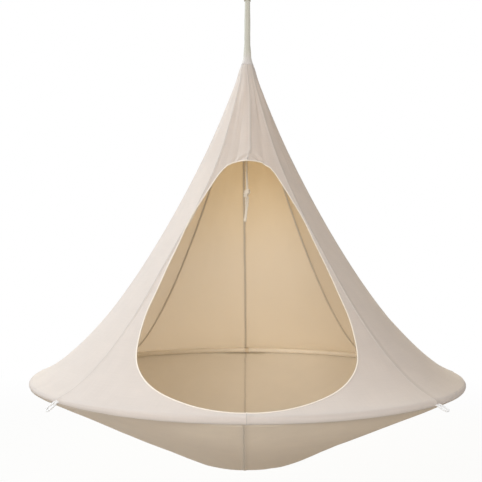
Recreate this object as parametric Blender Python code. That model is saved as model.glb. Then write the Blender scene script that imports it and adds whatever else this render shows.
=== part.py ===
"""Hanging tent: a fabric cone and a shallow fabric bowl on one aluminium hoop, hung from a ceiling eye.

Metres, +Z up. The origin is the middle of the ceiling face of the eye plate, and the door faces -Y.
Angles round the tent run from the door's middle (0) through the right side (+X, 90) to the back (180).
"""
import math

import bmesh
import bpy
from mathutils import Matrix, Vector

# Fabric and clearances
FABRIC = 0.0012                 # thickness of the canvas
SEAM_GAP = 0.0005               # between the edges of two sewn panels
SEAT_GAP = 0.0003               # between a piece and its seat
ROUND_STEPS = 48                # straight steps round the hoop, shared by all that lies along it
SMOOTH_UP_TO = math.radians(50)  # angle between faces that still reads as one round surface

# Hoop
HOOP_RADIUS = 0.745             # to the middle of the tube
TUBE_RADIUS = 0.009
TUBE_WALL = 0.0015
TUBE_SIDES = 8
SLEEVE_LOOSENESS = 0.0008       # between the tube and its fabric sleeve
WRAP_LOOSENESS = 0.0006         # between the sleeve and the canvas round it
SPIGOT_CLEARANCE = 0.0003
SPIGOT_WALL = 0.0012
SPIGOT_REACH = 0.060            # into each tube section
SEAM_SIDE = math.radians(-63)   # place of the hoop seam round the tube, from its outermost line
JOINT_ANGLES = {"front_right": 45, "back_right": 135, "back_left": 225, "front_left": 315}
TUBE_MIDDLES = {"front": 0, "right": 90, "back": 180, "left": 270}

# Snap buttons in the hoop joints
BUTTON_RADIUS = 0.003
BUTTON_PROUD = 0.0004
BUTTON_FOOT = 0.0032            # height of its lower end over the tube's middle
BUTTON_CLEARANCE = 0.0003
BUTTON_OFFSET = 0.036           # from the joint along the tube
SPRING_LEAF = 0.0005
SPRING_WIDTH = 0.005
SPRING_LENGTH = 0.020

# Canopy curve: from the hoop inwards and up to the foot of the neck
CANOPY_HEIGHT = 1.180           # middle of the hoop up to the foot of the neck
NECK_FOOT_RADIUS = 0.0115
SKIRT_SLOPE = math.radians(18.6)
SKIRT_PULL = 0.299
NECK_LEAN = math.radians(12.4)
NECK_PULL = 0.228
PANEL_FLATNESS = 0.75           # 0 is a round cone, 1 is flat panels between the seams
GORES = 8
GORE_NAMES = ("front_right", "right_front", "right_back", "back_right",
              "back_left", "left_back", "left_front", "front_left")
GORE_STEPS = 9                  # up the canopy

# Door: its right half from the head down, as angles from the front and shares of the way up
DOOR_SILL = 0.014               # run of canvas between the hoop and the sill
DOOR_LENGTH = 0.936             # run of canvas from sill to head
DOOR_ANGLES = (0, 17.5, 29.3, 38.9, 41.4, 41.2, 39.0, 34.3, 26.0, 14.0, 0)
DOOR_SHARES = (1.0, 0.983, 0.930, 0.825, 0.662, 0.505, 0.370, 0.220, 0.091, 0.019, 0.0)
DOOR_SIDE_ROWS = 15
DOOR_COLUMNS = 3
BINDING_WIDTH = 0.008
BINDING_THICKNESS = 0.0036

# Bowl
BOWL_SLOPE = math.radians(27)
BOWL_ROUND = 0.250              # radius at which the straight slope turns into the round bottom
BOWL_MIDDLE = 0.002             # radius of the point where the four panels meet
BOWL_ROUND_STEPS = 3            # rows of faces over the round bottom
BOWL_NAMES = ("front_right", "back_right", "back_left", "front_left")

# Tie loops at the foot of the corner seams
LOOP_RADIUS = 0.003
LOOP_SPACING = 0.010            # between its two strands
LOOP_STEM = 0.004
LOOP_LENGTH = 0.040
LOOP_DROOP = math.radians(27)

# Rope
ROPE_RADIUS = 0.005
STRAND_GAP = 0.0006             # between the two legs of the eye
EYE_LEAN = math.radians(25)     # of the eye's legs towards each other
EYE_STEPS = 12
SEIZING_LENGTH = 0.032
SEIZING_THICKNESS = 0.0022
SEIZING_MARGIN = 0.002          # of its length left bare at each end
TAIL_PAST_SEIZING = 0.008
LEG_JOIN_LENGTH = 0.030         # over which the standing leg comes back to the middle
ROPE_SHOWN = 0.0503             # bare rope between its eye and the neck
STOPPER_RADIUS = 0.0145
STOPPER_LENGTH = 0.045
TAIL_KNOT_DROP = 0.495          # foot of the neck down to the tail's knot
TAIL_KNOT_LENGTH = 0.036
TAIL_KNOT_RADIUS = 0.0135
TAIL_END_LENGTH = 0.089         # below the knot

# Thimble in the rope eye
THIMBLE_HOLE = 0.011
THIMBLE_WALL = 0.0015
THIMBLE_CLEARANCE = 0.0004      # round the rope
THIMBLE_CUP = math.radians(68)  # how far its groove reaches round each side of the rope
THIMBLE_SIDES = 6
THIMBLE_TIP = 0.7               # where it ends, as a share of the eye's leg

# Neck sleeve, whipping and apex collar
NECK_LENGTH = 0.240
NECK_RADIUS = 0.010
NECK_TAPER = 0.012              # height over which its foot narrows
NECK_STEPS = 12
WHIPPING_LENGTH = 0.018
WHIPPING_THICKNESS = 0.0022
WHIPPING_BELOW_TOP = 0.006
COLLAR_TOP = 0.040              # below the foot of the neck
COLLAR_LENGTH = 0.050

# Spring hook: an oval of round bar, gate on the right
BAR_RADIUS = 0.005
HOOK_BEND = 0.020               # bend radius of the bar's middle
HOOK_SIDE = 0.060               # straight side, between the two bends
BAR_SIDES = 10
TONGUE_THICKNESS = 0.004
TONGUE_CLEARANCE = 0.0003
HINGE_TONGUE_RADIUS = 0.0042
NOSE_WIDTH = 0.007
NOSE_HEIGHT = 0.0108            # of the latch nose above the bar's end
GATE_PIN_BELOW_BEND = 0.006
LATCH_PIN_ABOVE_BEND = 0.008
GATE_END_GAP = 0.0008
HINGE_SHOULDER = 0.0002         # of bar past the bend before the hinge tongue starts
LATCH_SHOULDER = 0.0012         # of bar past the bend before the latch nose starts
TONGUE_SUNK = 0.003             # depth of the tongue and the nose in the bar
HINGE_PIN_RADIUS = 0.0015
LATCH_PIN_RADIUS = 0.00125
PIN_CLEARANCE = 0.0001
SLOT_CLEARANCE = 0.0004
NOTCH_LIFT = 0.0001             # the latch pin rises a little as the gate swings in
HINGE_SLOT_ROOM = 0.001         # of the gate's slot under the hinge tongue
LATCH_SLOT_ROOM = 0.002         # of the gate's slot over the latch nose
GATE_BORE = 0.0018
GATE_BORE_DEPTH = 0.0145
BORE_OVERCUT = 0.002            # of the bore's cutter into the slot
PLUNGER_RADIUS = 0.0015
PLUNGER_LENGTH = 0.003
GATE_SPRING_WIRE = 0.0003
GATE_SPRING_TURNS = 5

# Ceiling eye plate
PLATE_SIDE = 0.064
PLATE_THICKNESS = 0.005
PLATE_CORNER = 0.010
SCREW_SPACING = 0.044
SCREW_HOLE = 0.0033
EYE_BAR = 0.004
EYE_BEND = 0.014                # bend radius of the bar's middle
EYE_DROP = 0.040                # ceiling face down to the middle of the eye's lowest bar

# Places that follow from the sizes above
SLEEVE_INSIDE = TUBE_RADIUS + SLEEVE_LOOSENESS
SLEEVE_OUTSIDE = SLEEVE_INSIDE + FABRIC * 0.7
WRAP_RADIUS = SLEEVE_OUTSIDE + WRAP_LOOSENESS + FABRIC  # outer face of the canvas round the hoop
WRAP_TOP = math.pi / 2 - SKIRT_SLOPE
TUBE_CORNER = math.pi / TUBE_SIDES                  # half the turn of one of its flat sides
STEP = 2 * math.pi / ROUND_STEPS
HOOK_TOP_BAR = -EYE_DROP + EYE_BAR + SEAT_GAP + BAR_RADIUS
HOOK_HIGH_BEND = HOOK_TOP_BAR - HOOK_BEND
HOOK_LOW_BEND = HOOK_HIGH_BEND - HOOK_SIDE
HOOK_LOW_BAR = HOOK_LOW_BEND - HOOK_BEND
EYE_MIDDLE = HOOK_LOW_BAR + BAR_RADIUS + SEAT_GAP - THIMBLE_HOLE
GROOVE = ROPE_RADIUS + THIMBLE_CLEARANCE
EYE_RADIUS = THIMBLE_HOLE + THIMBLE_WALL + GROOVE
LEG_OFFSET = ROPE_RADIUS + STRAND_GAP / 2
LEG_TOP = EYE_MIDDLE - EYE_RADIUS * math.sin(EYE_LEAN)
LEG_FOOT = LEG_TOP - (EYE_RADIUS * math.cos(EYE_LEAN) - LEG_OFFSET) / math.tan(EYE_LEAN)
SEIZING_FOOT = LEG_FOOT - SEIZING_LENGTH
EYE_FOOT = SEIZING_FOOT - LEG_JOIN_LENGTH
NECK_FOOT = CANOPY_HEIGHT
NECK_TOP = NECK_FOOT + SEAT_GAP + NECK_LENGTH
HOOP_DROP = NECK_TOP + ROPE_SHOWN - EYE_FOOT        # ceiling face down to the middle of the hoop tube


def clear_scene():
    for obj in list(bpy.data.objects):
        bpy.data.objects.remove(obj, do_unlink=True)


def material(name, colour, roughness, metallic=0.0):
    """A Principled material in one colour."""
    made = bpy.data.materials.new(name)
    made.use_nodes = True
    shader = made.node_tree.nodes["Principled BSDF"]
    shader.inputs["Base Color"].default_value = (*colour, 1.0)
    shader.inputs["Roughness"].default_value = roughness
    shader.inputs["Metallic"].default_value = metallic
    return made


def place(obj, surface, parent=None, at=(0, 0, 0)):
    """Give an object its material, parent and place, and shade its round faces smooth."""
    bpy.context.scene.collection.objects.link(obj)
    obj.data.materials.append(surface)
    obj.location = at
    obj.parent = parent
    if obj.type == "MESH":
        obj.data.shade_smooth()
        obj.data.set_sharp_from_angle(angle=SMOOTH_UP_TO)
    return obj


def mesh_object(name, bm, surface, parent=None, at=(0, 0, 0)):
    mesh = bpy.data.meshes.new(name)
    bm.to_mesh(mesh)
    bm.free()
    return place(bpy.data.objects.new(name, mesh), surface, parent, at)


def axis_empty(name, at, parent=None):
    """An empty on a joint's axis, that carries what moves there."""
    empty = bpy.data.objects.new(name, None)
    bpy.context.scene.collection.objects.link(empty)
    empty.location = at
    empty.parent = parent
    return empty


def boolean(obj, other, operation="DIFFERENCE"):
    """Cut another object out of this one, or join it on, and keep it as a wire guide."""
    cut = obj.modifiers.new(operation.title(), "BOOLEAN")
    cut.operation = operation
    cut.solver = "EXACT"
    cut.object = other
    other.hide_render = True
    other.display_type = "WIRE"


def cylinder(radius, length, middle, axis="Z", sides=16):
    """A closed bmesh cylinder, centred on middle."""
    turn = {"X": Matrix.Rotation(math.pi / 2, 4, "Y"), "Y": Matrix.Rotation(math.pi / 2, 4, "X"),
            "Z": Matrix.Identity(4)}[axis]
    bm = bmesh.new()
    bmesh.ops.create_cone(bm, cap_ends=True, segments=sides, radius1=radius, radius2=radius,
                          depth=length, matrix=Matrix.Translation(middle) @ turn)
    return bm


def block(size, middle):
    bm = bmesh.new()
    shape = Matrix.Translation(middle) @ Matrix.Diagonal((*size, 1.0))
    bmesh.ops.create_cube(bm, size=1.0, matrix=shape)
    return bm


def guide(name, bm, parent=None, at=(0, 0, 0)):
    """A helper solid for a Boolean."""
    mesh = bpy.data.meshes.new(name)
    bm.to_mesh(mesh)
    bm.free()
    obj = bpy.data.objects.new(name, mesh)
    bpy.context.scene.collection.objects.link(obj)
    obj.location = at
    obj.parent = parent
    return obj


def ring_edges(bm, points):
    """A closed loop of edges through the points."""
    verts = [bm.verts.new(p) for p in points]
    return [bm.edges.new((verts[i - 1], verts[i])) for i in range(len(verts))]


def loft(rings, closed=False, inner=None):
    """A closed solid through rings of points: capped, joined end to end, or with an inner wall."""
    bm = bmesh.new()
    outer_loops = [ring_edges(bm, points) for points in rings]
    pairs = list(zip(outer_loops, outer_loops[1:]))
    if closed:
        pairs.append((outer_loops[-1], outer_loops[0]))
    if inner:
        inner_loops = [ring_edges(bm, points) for points in inner]
        pairs += list(zip(inner_loops, inner_loops[1:]))
        for end in (0, -1):
            for wide, narrow in zip(outer_loops[end], inner_loops[end]):
                bm.faces.new((*wide.verts, narrow.verts[1], narrow.verts[0]))
    for first, second in pairs:
        bmesh.ops.bridge_loops(bm, edges=first + second)
    if not closed and not inner:
        for loop in (outer_loops[0], outer_loops[-1]):
            bmesh.ops.contextual_create(bm, geom=loop)
    bmesh.ops.recalc_face_normals(bm, faces=bm.faces)
    return bm


def turned(profile, steps=NECK_STEPS, at_z=0.0):
    """A closed (radius, height) outline turned once round the Z axis."""
    bm = bmesh.new()
    edges = ring_edges(bm, [(r, 0, z + at_z) for r, z in profile])
    bmesh.ops.spin(bm, geom=edges, cent=(0, 0, 0), axis=(0, 0, 1), angle=2 * math.pi, steps=steps,
                   use_merge=True)
    bmesh.ops.recalc_face_normals(bm, faces=bm.faces)
    return bm


def smooth_path(points, per_span):
    """Points along a Catmull-Rom curve through the given ones."""
    points = [Vector(p) for p in points]
    padded = [2 * points[0] - points[1]] + points + [2 * points[-1] - points[-2]]
    path = []
    for a, b, c, d in zip(padded, padded[1:], padded[2:], padded[3:]):
        for k in range(per_span):
            t = k / per_span
            path.append(0.5 * (2 * b + (c - a) * t + (2 * a - 5 * b + 4 * c - d) * t ** 2
                               + (3 * b - a - 3 * c + d) * t ** 3))
    return path + [points[-1]]


def arc(radius, first, last, steps, middle=0.0):
    """(across, up) points along an arc whose centre lies at a height."""
    angles = [first + (last - first) * k / steps for k in range(steps + 1)]
    return [(radius * math.cos(a), middle + radius * math.sin(a)) for a in angles]


def bent_bar(path, radius, sides, normal):
    """A round bar along a path that lies in the plane across the normal."""
    rings = []
    for i, here in enumerate(path):
        along = (path[min(i + 1, len(path) - 1)] - path[max(i - 1, 0)]).normalized()
        across = along.cross(normal)
        turns = [2 * math.pi * (k + 0.5) / sides for k in range(sides)]
        rings.append([here + across * (radius * math.cos(a)) + normal * (radius * math.sin(a))
                      for a in turns])
    return loft(rings)


def cord(name, path, radius, surface, parent=None, at=(0, 0, 0), resolution=2):
    """A plain round cord along a path."""
    curve = bpy.data.curves.new(name, "CURVE")
    curve.dimensions = "3D"
    curve.bevel_depth = radius
    curve.bevel_resolution = resolution
    curve.use_fill_caps = True
    spline = curve.splines.new("POLY")
    spline.points.add(len(path) - 1)
    for point, place_on_path in zip(spline.points, path):
        point.co = (*place_on_path, 1.0)
    return place(bpy.data.objects.new(name, curve), surface, parent, at)


def compass(radius, angle, height):
    """A point round the tent's axis."""
    return Vector((radius * math.sin(angle), -radius * math.cos(angle), height))


def stepped_radius(radius, angle):
    """The radius at an angle of the straight-sided ring whose corners lie at the radius."""
    off_middle = (angle % STEP) - STEP / 2
    return radius * math.cos(STEP / 2) / math.cos(off_middle)


def round_tube(angle, distance, side):
    """A point beside the hoop: distance from the tube's middle, side 0 outwards, 90 degrees up."""
    radius = stepped_radius(HOOP_RADIUS + distance * math.cos(side), angle)
    return compass(radius, angle, distance * math.sin(side))


def wave(low, high, value):
    """0 below low, 1 above high and a smooth rise between."""
    t = min(max((value - low) / (high - low), 0.0), 1.0)
    return t * t * (3 - 2 * t)


class CanopyCurve:
    """The canopy's side outline: a cubic curve measured by its run from the hoop upwards."""

    SAMPLES = 600

    def __init__(self):
        foot = Vector((HOOP_RADIUS + WRAP_RADIUS * math.cos(WRAP_TOP), WRAP_RADIUS * math.sin(WRAP_TOP)))
        skirt = foot + SKIRT_PULL * Vector((-math.cos(SKIRT_SLOPE), math.sin(SKIRT_SLOPE)))
        top = Vector((NECK_FOOT_RADIUS, NECK_FOOT))
        neck = top + NECK_PULL * Vector((math.sin(NECK_LEAN), -math.cos(NECK_LEAN)))
        self.points = []
        for i in range(self.SAMPLES + 1):
            t = i / self.SAMPLES
            s = 1 - t
            self.points.append(s ** 3 * foot + 3 * s * s * t * skirt + 3 * s * t * t * neck + t ** 3 * top)
        self.runs = [0.0]
        for a, b in zip(self.points, self.points[1:]):
            self.runs.append(self.runs[-1] + (b - a).length)
        self.length = self.runs[-1]

    def at_run(self, run):
        """(radius, height) at a run from the hoop."""
        run = min(max(run, 0.0), self.length)
        low, high = 0, self.SAMPLES
        while high - low > 1:
            middle = (low + high) // 2
            if self.runs[middle] <= run:
                low = middle
            else:
                high = middle
        share = (run - self.runs[low]) / (self.runs[high] - self.runs[low])
        return self.points[low].lerp(self.points[high], share)

    def radius_at_height(self, height):
        for a, b in zip(self.points, self.points[1:]):
            if a.y <= height <= b.y:
                return a.lerp(b, (height - a.y) / (b.y - a.y)).x
        return self.points[-1].x


CURVE = CanopyCurve()


def flatness(run):
    """How flat the panels are between their seams: not at all at the hoop and at the neck."""
    level = CURVE.at_run(run).y / CANOPY_HEIGHT
    return PANEL_FLATNESS * wave(0.05, 0.40, level) * (1 - wave(0.80, 0.90, level))


def seam_inset(run):
    """From a seam's middle to a panel's outer edge, so that the inner edges keep the seam gap."""
    return SEAM_GAP / 2 + FABRIC * math.sin(flatness(run) * math.pi / GORES)


def canopy_point(angle, run):
    """The canvas's outer face at an angle and a run from the hoop."""
    radius, height = CURVE.at_run(run)
    flat = flatness(run)
    half = math.pi / GORES
    off_middle = (angle % (2 * half)) - half
    chord = math.cos(half) / math.cos(off_middle)
    return compass(radius * (1 - flat + flat * chord), angle, height)


def wrap_point(angle, side):
    return round_tube(angle, WRAP_RADIUS, side)


def wrap_sides():
    """Places round the tube where the canvas bends: the hoop seam, two corners, the canopy's foot."""
    return [SEAM_SIDE + SEAM_GAP / 2 / WRAP_RADIUS, -TUBE_CORNER, TUBE_CORNER, WRAP_TOP]


def sheet_grid(bm, columns, rows, point):
    """Add a grid of faces whose corners are point(column, row)."""
    made = bmesh.ops.create_grid(bm, x_segments=columns, y_segments=rows, size=0.5)["verts"]
    for vert in made:
        column = round((vert.co.x + 0.5) * columns)
        row = round((vert.co.y + 0.5) * rows)
        vert.co = point(column, row)


def fabric_panel(name, bm, surface, parent):
    """Give an open sheet, which is the panel's outer face, the canvas's thickness on its inner side."""
    bmesh.ops.remove_doubles(bm, verts=bm.verts, dist=0.000001)
    bmesh.ops.recalc_face_normals(bm, faces=bm.faces)
    face = max(bm.faces, key=lambda f: f.calc_area())
    middle = face.calc_center_median()
    outwards = Vector((middle.x, middle.y, 0.0)).dot(face.normal)
    if outwards < 0:
        bmesh.ops.reverse_faces(bm, faces=bm.faces)
    panel = mesh_object(name, bm, surface, parent)
    wall = panel.modifiers.new("Canvas", "SOLIDIFY")
    wall.thickness = FABRIC
    wall.offset = -1
    wall.use_even_offset = False
    return panel


def plain_gore(name, first, surface, parent):
    """One canopy panel from the hoop seam to the neck, between two seams."""
    columns = ROUND_STEPS // GORES
    sides = wrap_sides()
    wrap_rows = len(sides) - 1

    def point(column, row):
        angle = first + STEP * column
        run = CURVE.length * max(row - wrap_rows, 0) / GORE_STEPS
        inset = seam_inset(run) / CURVE.at_run(run).x
        if column == 0:
            angle += inset
        if column == columns:
            angle -= inset
        if row <= wrap_rows:
            return wrap_point(angle, sides[row])
        return canopy_point(angle, run)

    bm = bmesh.new()
    sheet_grid(bm, columns, wrap_rows + GORE_STEPS, point)
    return fabric_panel(name, bm, surface, parent)


def door_half(samples):
    """(angle, run) points down the right half of the door, head to sill, evenly spaced."""
    coarse = smooth_path([(math.radians(angle), DOOR_SILL + DOOR_LENGTH * share, 0)
                          for angle, share in zip(DOOR_ANGLES, DOOR_SHARES)], 12)
    places = [canopy_point(p.x, p.y) for p in coarse]
    runs = [0.0]
    for a, b in zip(places, places[1:]):
        runs.append(runs[-1] + (b - a).length)
    picked = []
    for k in range(samples):
        wanted = runs[-1] * k / (samples - 1)
        i = max(j for j in range(len(runs) - 1) if runs[j] <= wanted + 1e-9)
        share = (wanted - runs[i]) / (runs[i + 1] - runs[i])
        picked.append(coarse[i].lerp(coarse[i + 1], min(share, 1.0)))
    return [(p.x, p.y) for p in picked]


def door_frames(samples):
    """Each point of the right half with its outward direction in the canvas and the canvas's normal."""
    half = door_half(samples)
    frames = []
    for i, (angle, run) in enumerate(half):
        here = canopy_point(angle, run)
        before = half[max(i - 1, 0)]
        after = half[min(i + 1, samples - 1)]
        along = canopy_point(*after) - canopy_point(*before)
        nudge = 0.002
        across = canopy_point(angle + nudge, run) - canopy_point(angle - nudge, run)
        up = canopy_point(angle, run + nudge) - canopy_point(angle, run - nudge)
        normal = across.cross(up).normalized()
        if i in (0, samples - 1):
            along = Vector((1 if i == 0 else -1, 0, 0))
        away = normal.cross(along).normalized()
        outwards = here - canopy_point(0, DOOR_SILL + DOOR_LENGTH * 0.35)
        if away.dot(outwards) < 0:
            away = -away
        if i in (0, samples - 1):
            normal.x = 0
            normal.normalize()
            away.x = 0
            away.normalize()
        frames.append((here, away, normal))
    return frames


def front_gore(name, mirrored, surface, parent):
    """A front panel: whole above the door, and a strip round the door's edge below its head."""
    columns = ROUND_STEPS // GORES
    corner = 2 * math.pi / GORES
    samples = DOOR_SIDE_ROWS + columns + 1
    frames = door_frames(samples)
    setback = BINDING_WIDTH / 2 + SEAT_GAP
    side = -1 if mirrored else 1
    half_gap = SEAM_GAP / 2
    head_run = DOOR_SILL + DOOR_LENGTH + setback
    top_rows = 4
    sides = wrap_sides()

    def mirror(p):
        return Vector((side * p.x, p.y, p.z))

    def outer(row):
        """(angle, run) on the corner seam for the side rows, then along the hoop to the front."""
        if row <= DOOR_SIDE_ROWS:
            share = row / DOOR_SIDE_ROWS
            run = head_run * (1 - share)
            return corner - seam_inset(run) / CURVE.at_run(run).x, run
        angle = corner - STEP * (row - DOOR_SIDE_ROWS)
        if row == samples - 1:
            angle += half_gap / HOOP_RADIUS
        return angle, 0.0

    def inner_edge(row):
        here, away, _ = frames[row]
        edge = here + away * setback
        edge.x = max(edge.x, seam_inset(head_run) if row == 0 else half_gap)
        return edge

    def beside_door(column, row):
        if column == 0:
            return mirror(inner_edge(row))
        edge = inner_edge(row)
        edge_angle = math.atan2(edge.x, -edge.y)
        low, high = 0.0, CURVE.length
        for _ in range(50):
            middle = (low + high) / 2
            if CURVE.at_run(middle).y < edge.z:
                low = middle
            else:
                high = middle
        angle, run = outer(row)
        share = column / DOOR_COLUMNS
        if column == DOOR_COLUMNS and run == 0.0:
            return mirror(wrap_point(angle, WRAP_TOP))
        return mirror(canopy_point(edge_angle + (angle - edge_angle) * share, low + (run - low) * share))

    def above_door(column, row):
        run = CURVE.length + (head_run - CURVE.length) * row / top_rows
        inset = seam_inset(run) / CURVE.at_run(run).x
        near, far = inset, corner - inset
        if row == top_rows and column == 0:
            return mirror(inner_edge(0))
        if row == top_rows:
            return beside_door(column, 0)
        return mirror(canopy_point(near + (far - near) * column / DOOR_COLUMNS, run))

    def round_hoop(column, row):
        angle = STEP * column
        if column == 0:
            angle += half_gap / HOOP_RADIUS
        if column == columns:
            angle -= half_gap / HOOP_RADIUS
        return mirror(wrap_point(angle, sides[row]))

    bm = bmesh.new()
    sheet_grid(bm, DOOR_COLUMNS, samples - 1, beside_door)
    sheet_grid(bm, DOOR_COLUMNS, top_rows, above_door)
    sheet_grid(bm, columns, len(sides) - 1, round_hoop)
    return fabric_panel(name, bm, surface, parent)


def make_canopy(canvas, parent):
    width = 2 * math.pi / GORES
    for index, name in enumerate(GORE_NAMES):
        if index in (0, GORES - 1):
            front_gore("canopy_gore_" + name, index != 0, canvas, parent)
        else:
            plain_gore("canopy_gore_" + name, width * index, canvas, parent)


def make_door_binding(tape, parent):
    """A flat tape with round edges that lies in the canvas's edge all round the door."""
    samples = DOOR_SIDE_ROWS + ROUND_STEPS // GORES + 1
    frames = door_frames(samples)
    left = [(Vector((-p.x, p.y, p.z)), Vector((-a.x, a.y, a.z)), Vector((-n.x, n.y, n.z)))
            for p, a, n in frames[1:-1]]
    half_width, half_depth = BINDING_WIDTH / 2, BINDING_THICKNESS / 2
    shoulder = half_width - half_depth * 0.7
    section = ((half_width, 0), (shoulder, half_depth), (-shoulder, half_depth),
               (-half_width, 0), (-shoulder, -half_depth), (shoulder, -half_depth))
    rings = []
    for here, away, normal in frames + left[::-1]:
        middle = here - normal * FABRIC / 2
        rings.append([middle + away * a + normal * b for a, b in section])
    return mesh_object("door_binding", loft(rings, closed=True), tape, parent)


def make_bowl(canvas, parent):
    """Four quarter panels: a straight slope under the hoop, then a round bottom."""
    columns = ROUND_STEPS // len(BOWL_NAMES)
    round_radius = BOWL_ROUND / math.sin(BOWL_SLOPE)
    seam_drop = SEAM_GAP / 2 / WRAP_RADIUS
    side = -(math.pi / 2 - BOWL_SLOPE)
    rim = (HOOP_RADIUS + WRAP_RADIUS * math.cos(side), WRAP_RADIUS * math.sin(side))
    slope_end = rim[1] - (rim[0] - BOWL_ROUND) * math.tan(BOWL_SLOPE)
    profile = [(HOOP_RADIUS + WRAP_RADIUS * math.cos(SEAM_SIDE - seam_drop),
                WRAP_RADIUS * math.sin(SEAM_SIDE - seam_drop))]
    for share in (0.5, 1.0):
        radius = rim[0] + (BOWL_ROUND - rim[0]) * share
        profile.append((radius, rim[1] + (slope_end - rim[1]) * share))
    lowest = math.asin(BOWL_MIDDLE / round_radius)
    for k in range(1, BOWL_ROUND_STEPS + 1):
        lean = BOWL_SLOPE + (lowest - BOWL_SLOPE) * k / BOWL_ROUND_STEPS
        profile.append((round_radius * math.sin(lean),
                        slope_end + round_radius * (math.cos(BOWL_SLOPE) - math.cos(lean))))

    for index, name in enumerate(BOWL_NAMES):
        first = 2 * math.pi / len(BOWL_NAMES) * index

        def point(column, row):
            radius, height = profile[row]
            drawn_in = min(SEAM_GAP / 2 / radius, STEP / 3)
            angle = first + STEP * column
            if column == 0:
                angle += drawn_in
            if column == columns:
                angle -= drawn_in
            return compass(stepped_radius(radius, angle), angle, height)

        bm = bmesh.new()
        sheet_grid(bm, columns, len(profile) - 1, point)
        fabric_panel("bowl_gore_" + name, bm, canvas, parent)


def tube_ring(angle, radius):
    return [round_tube(angle, radius, TUBE_CORNER * (2 * k + 1)) for k in range(TUBE_SIDES)]


def button_place(joint_angle):
    """Where a snap button stands: on the straight step after the joint, with the step's direction."""
    start = compass(HOOP_RADIUS, joint_angle, 0)
    along = (compass(HOOP_RADIUS, joint_angle + STEP, 0) - start).normalized()
    return start + along * BUTTON_OFFSET, along


def make_hoop(metal, steel, fabric, tent):
    """Four tube sections on four spigots, each joint held by a sprung button, in one fabric sleeve."""
    spigot_outside = TUBE_RADIUS - TUBE_WALL - SPIGOT_CLEARANCE
    spigot_inside = spigot_outside - SPIGOT_WALL
    gap = SEAT_GAP / HOOP_RADIUS / 2
    quarter = ROUND_STEPS // len(TUBE_MIDDLES)
    tubes = {}
    for name, middle in TUBE_MIDDLES.items():
        start = math.radians(middle) - math.pi / len(TUBE_MIDDLES)
        angles = [start + STEP * k for k in range(quarter + 1)]
        angles[0] += gap
        angles[-1] -= gap
        bm = loft([tube_ring(a, TUBE_RADIUS) for a in angles],
                  inner=[tube_ring(a, TUBE_RADIUS - TUBE_WALL) for a in angles])
        tubes[name] = mesh_object("hoop_tube_" + name, bm, metal, tent)
    after_joint = dict(zip(JOINT_ANGLES, ("right", "back", "left", "front")))
    for name, degrees in JOINT_ANGLES.items():
        joint = math.radians(degrees)
        reach = SPIGOT_REACH / HOOP_RADIUS
        angles = (joint - reach, joint, joint + reach)
        bm = loft([tube_ring(a, spigot_outside) for a in angles],
                  inner=[tube_ring(a, spigot_inside) for a in angles])
        spigot = mesh_object("hoop_spigot_" + name, bm, metal, tent)
        here, along = button_place(joint)
        hole = cylinder(BUTTON_RADIUS + BUTTON_CLEARANCE, 2 * TUBE_RADIUS,
                        here + Vector((0, 0, TUBE_RADIUS + spigot_inside / 4)), sides=12)
        cutter = guide("button_hole_" + name, hole, tent)
        boolean(spigot, cutter)
        boolean(tubes[after_joint[name]], cutter)
        make_snap_button(name, here, steel, tent)
        make_button_spring(name, here, along, spigot_inside, steel, tent)
    make_hoop_sleeve(fabric, tent)


def make_snap_button(name, here, steel, tent):
    """A round button with a domed head, on its own axis."""
    height = TUBE_RADIUS * math.cos(TUBE_CORNER) + BUTTON_PROUD - BUTTON_FOOT
    bm = cylinder(BUTTON_RADIUS, height, (0, 0, BUTTON_FOOT + height / 2), sides=12)
    head = [e for e in bm.edges if all(v.co.z > BUTTON_FOOT + height - 1e-5 for v in e.verts)]
    bmesh.ops.bevel(bm, geom=head, offset=BUTTON_PROUD * 0.8, segments=2, profile=0.5,
                    affect="EDGES", material=-1)
    return mesh_object("snap_button_" + name, bm, steel, tent, here)


def make_button_spring(name, here, along, bore, steel, tent):
    """A leaf spring bent double: one leg under the button, the other on the spigot's lower wall."""
    flat_bore = bore * math.cos(TUBE_CORNER)
    floor = -math.sqrt(flat_bore ** 2 - (SPRING_WIDTH / 2) ** 2) + SEAT_GAP
    roof = BUTTON_FOOT - SEAT_GAP
    middle = (roof + floor) / 2
    heel = -SPRING_LENGTH * 0.3
    bend = SPRING_LENGTH
    outline = ((heel, roof), (SPRING_LENGTH * 0.2, roof), (bend, middle + SPRING_LEAF),
               (bend + SPRING_LEAF, middle), (bend, middle - SPRING_LEAF),
               (SPRING_LENGTH * 0.2, floor), (heel, floor), (heel, floor + SPRING_LEAF),
               (SPRING_LENGTH * 0.2, floor + SPRING_LEAF), (bend - 2 * SPRING_LEAF, middle),
               (SPRING_LENGTH * 0.2, roof - SPRING_LEAF), (heel, roof - SPRING_LEAF))
    across = Vector((0, 0, 1)).cross(along)
    rings = [[along * s + across * w + Vector((0, 0, z)) for s, z in outline]
             for w in (-SPRING_WIDTH / 2, SPRING_WIDTH / 2)]
    return mesh_object("button_spring_" + name, loft(rings), steel, tent, here)


def make_hoop_sleeve(fabric, tent):
    """The sleeve round the tube, open along the hoop seam."""
    sides = [TUBE_CORNER * (2 * k - 1) for k in range(TUBE_SIDES)]
    outline = [(SLEEVE_OUTSIDE, s) for s in sides] + [(SLEEVE_INSIDE, s) for s in sides[::-1]]
    bm = bmesh.new()
    edges = ring_edges(bm, [round_tube(0, distance, side) for distance, side in outline])
    bmesh.ops.spin(bm, geom=edges, cent=(0, 0, 0), axis=(0, 0, 1), angle=2 * math.pi, steps=ROUND_STEPS,
                   use_merge=True)
    bmesh.ops.recalc_face_normals(bm, faces=bm.faces)
    return mesh_object("hoop_sleeve", bm, fabric, tent)


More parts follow.
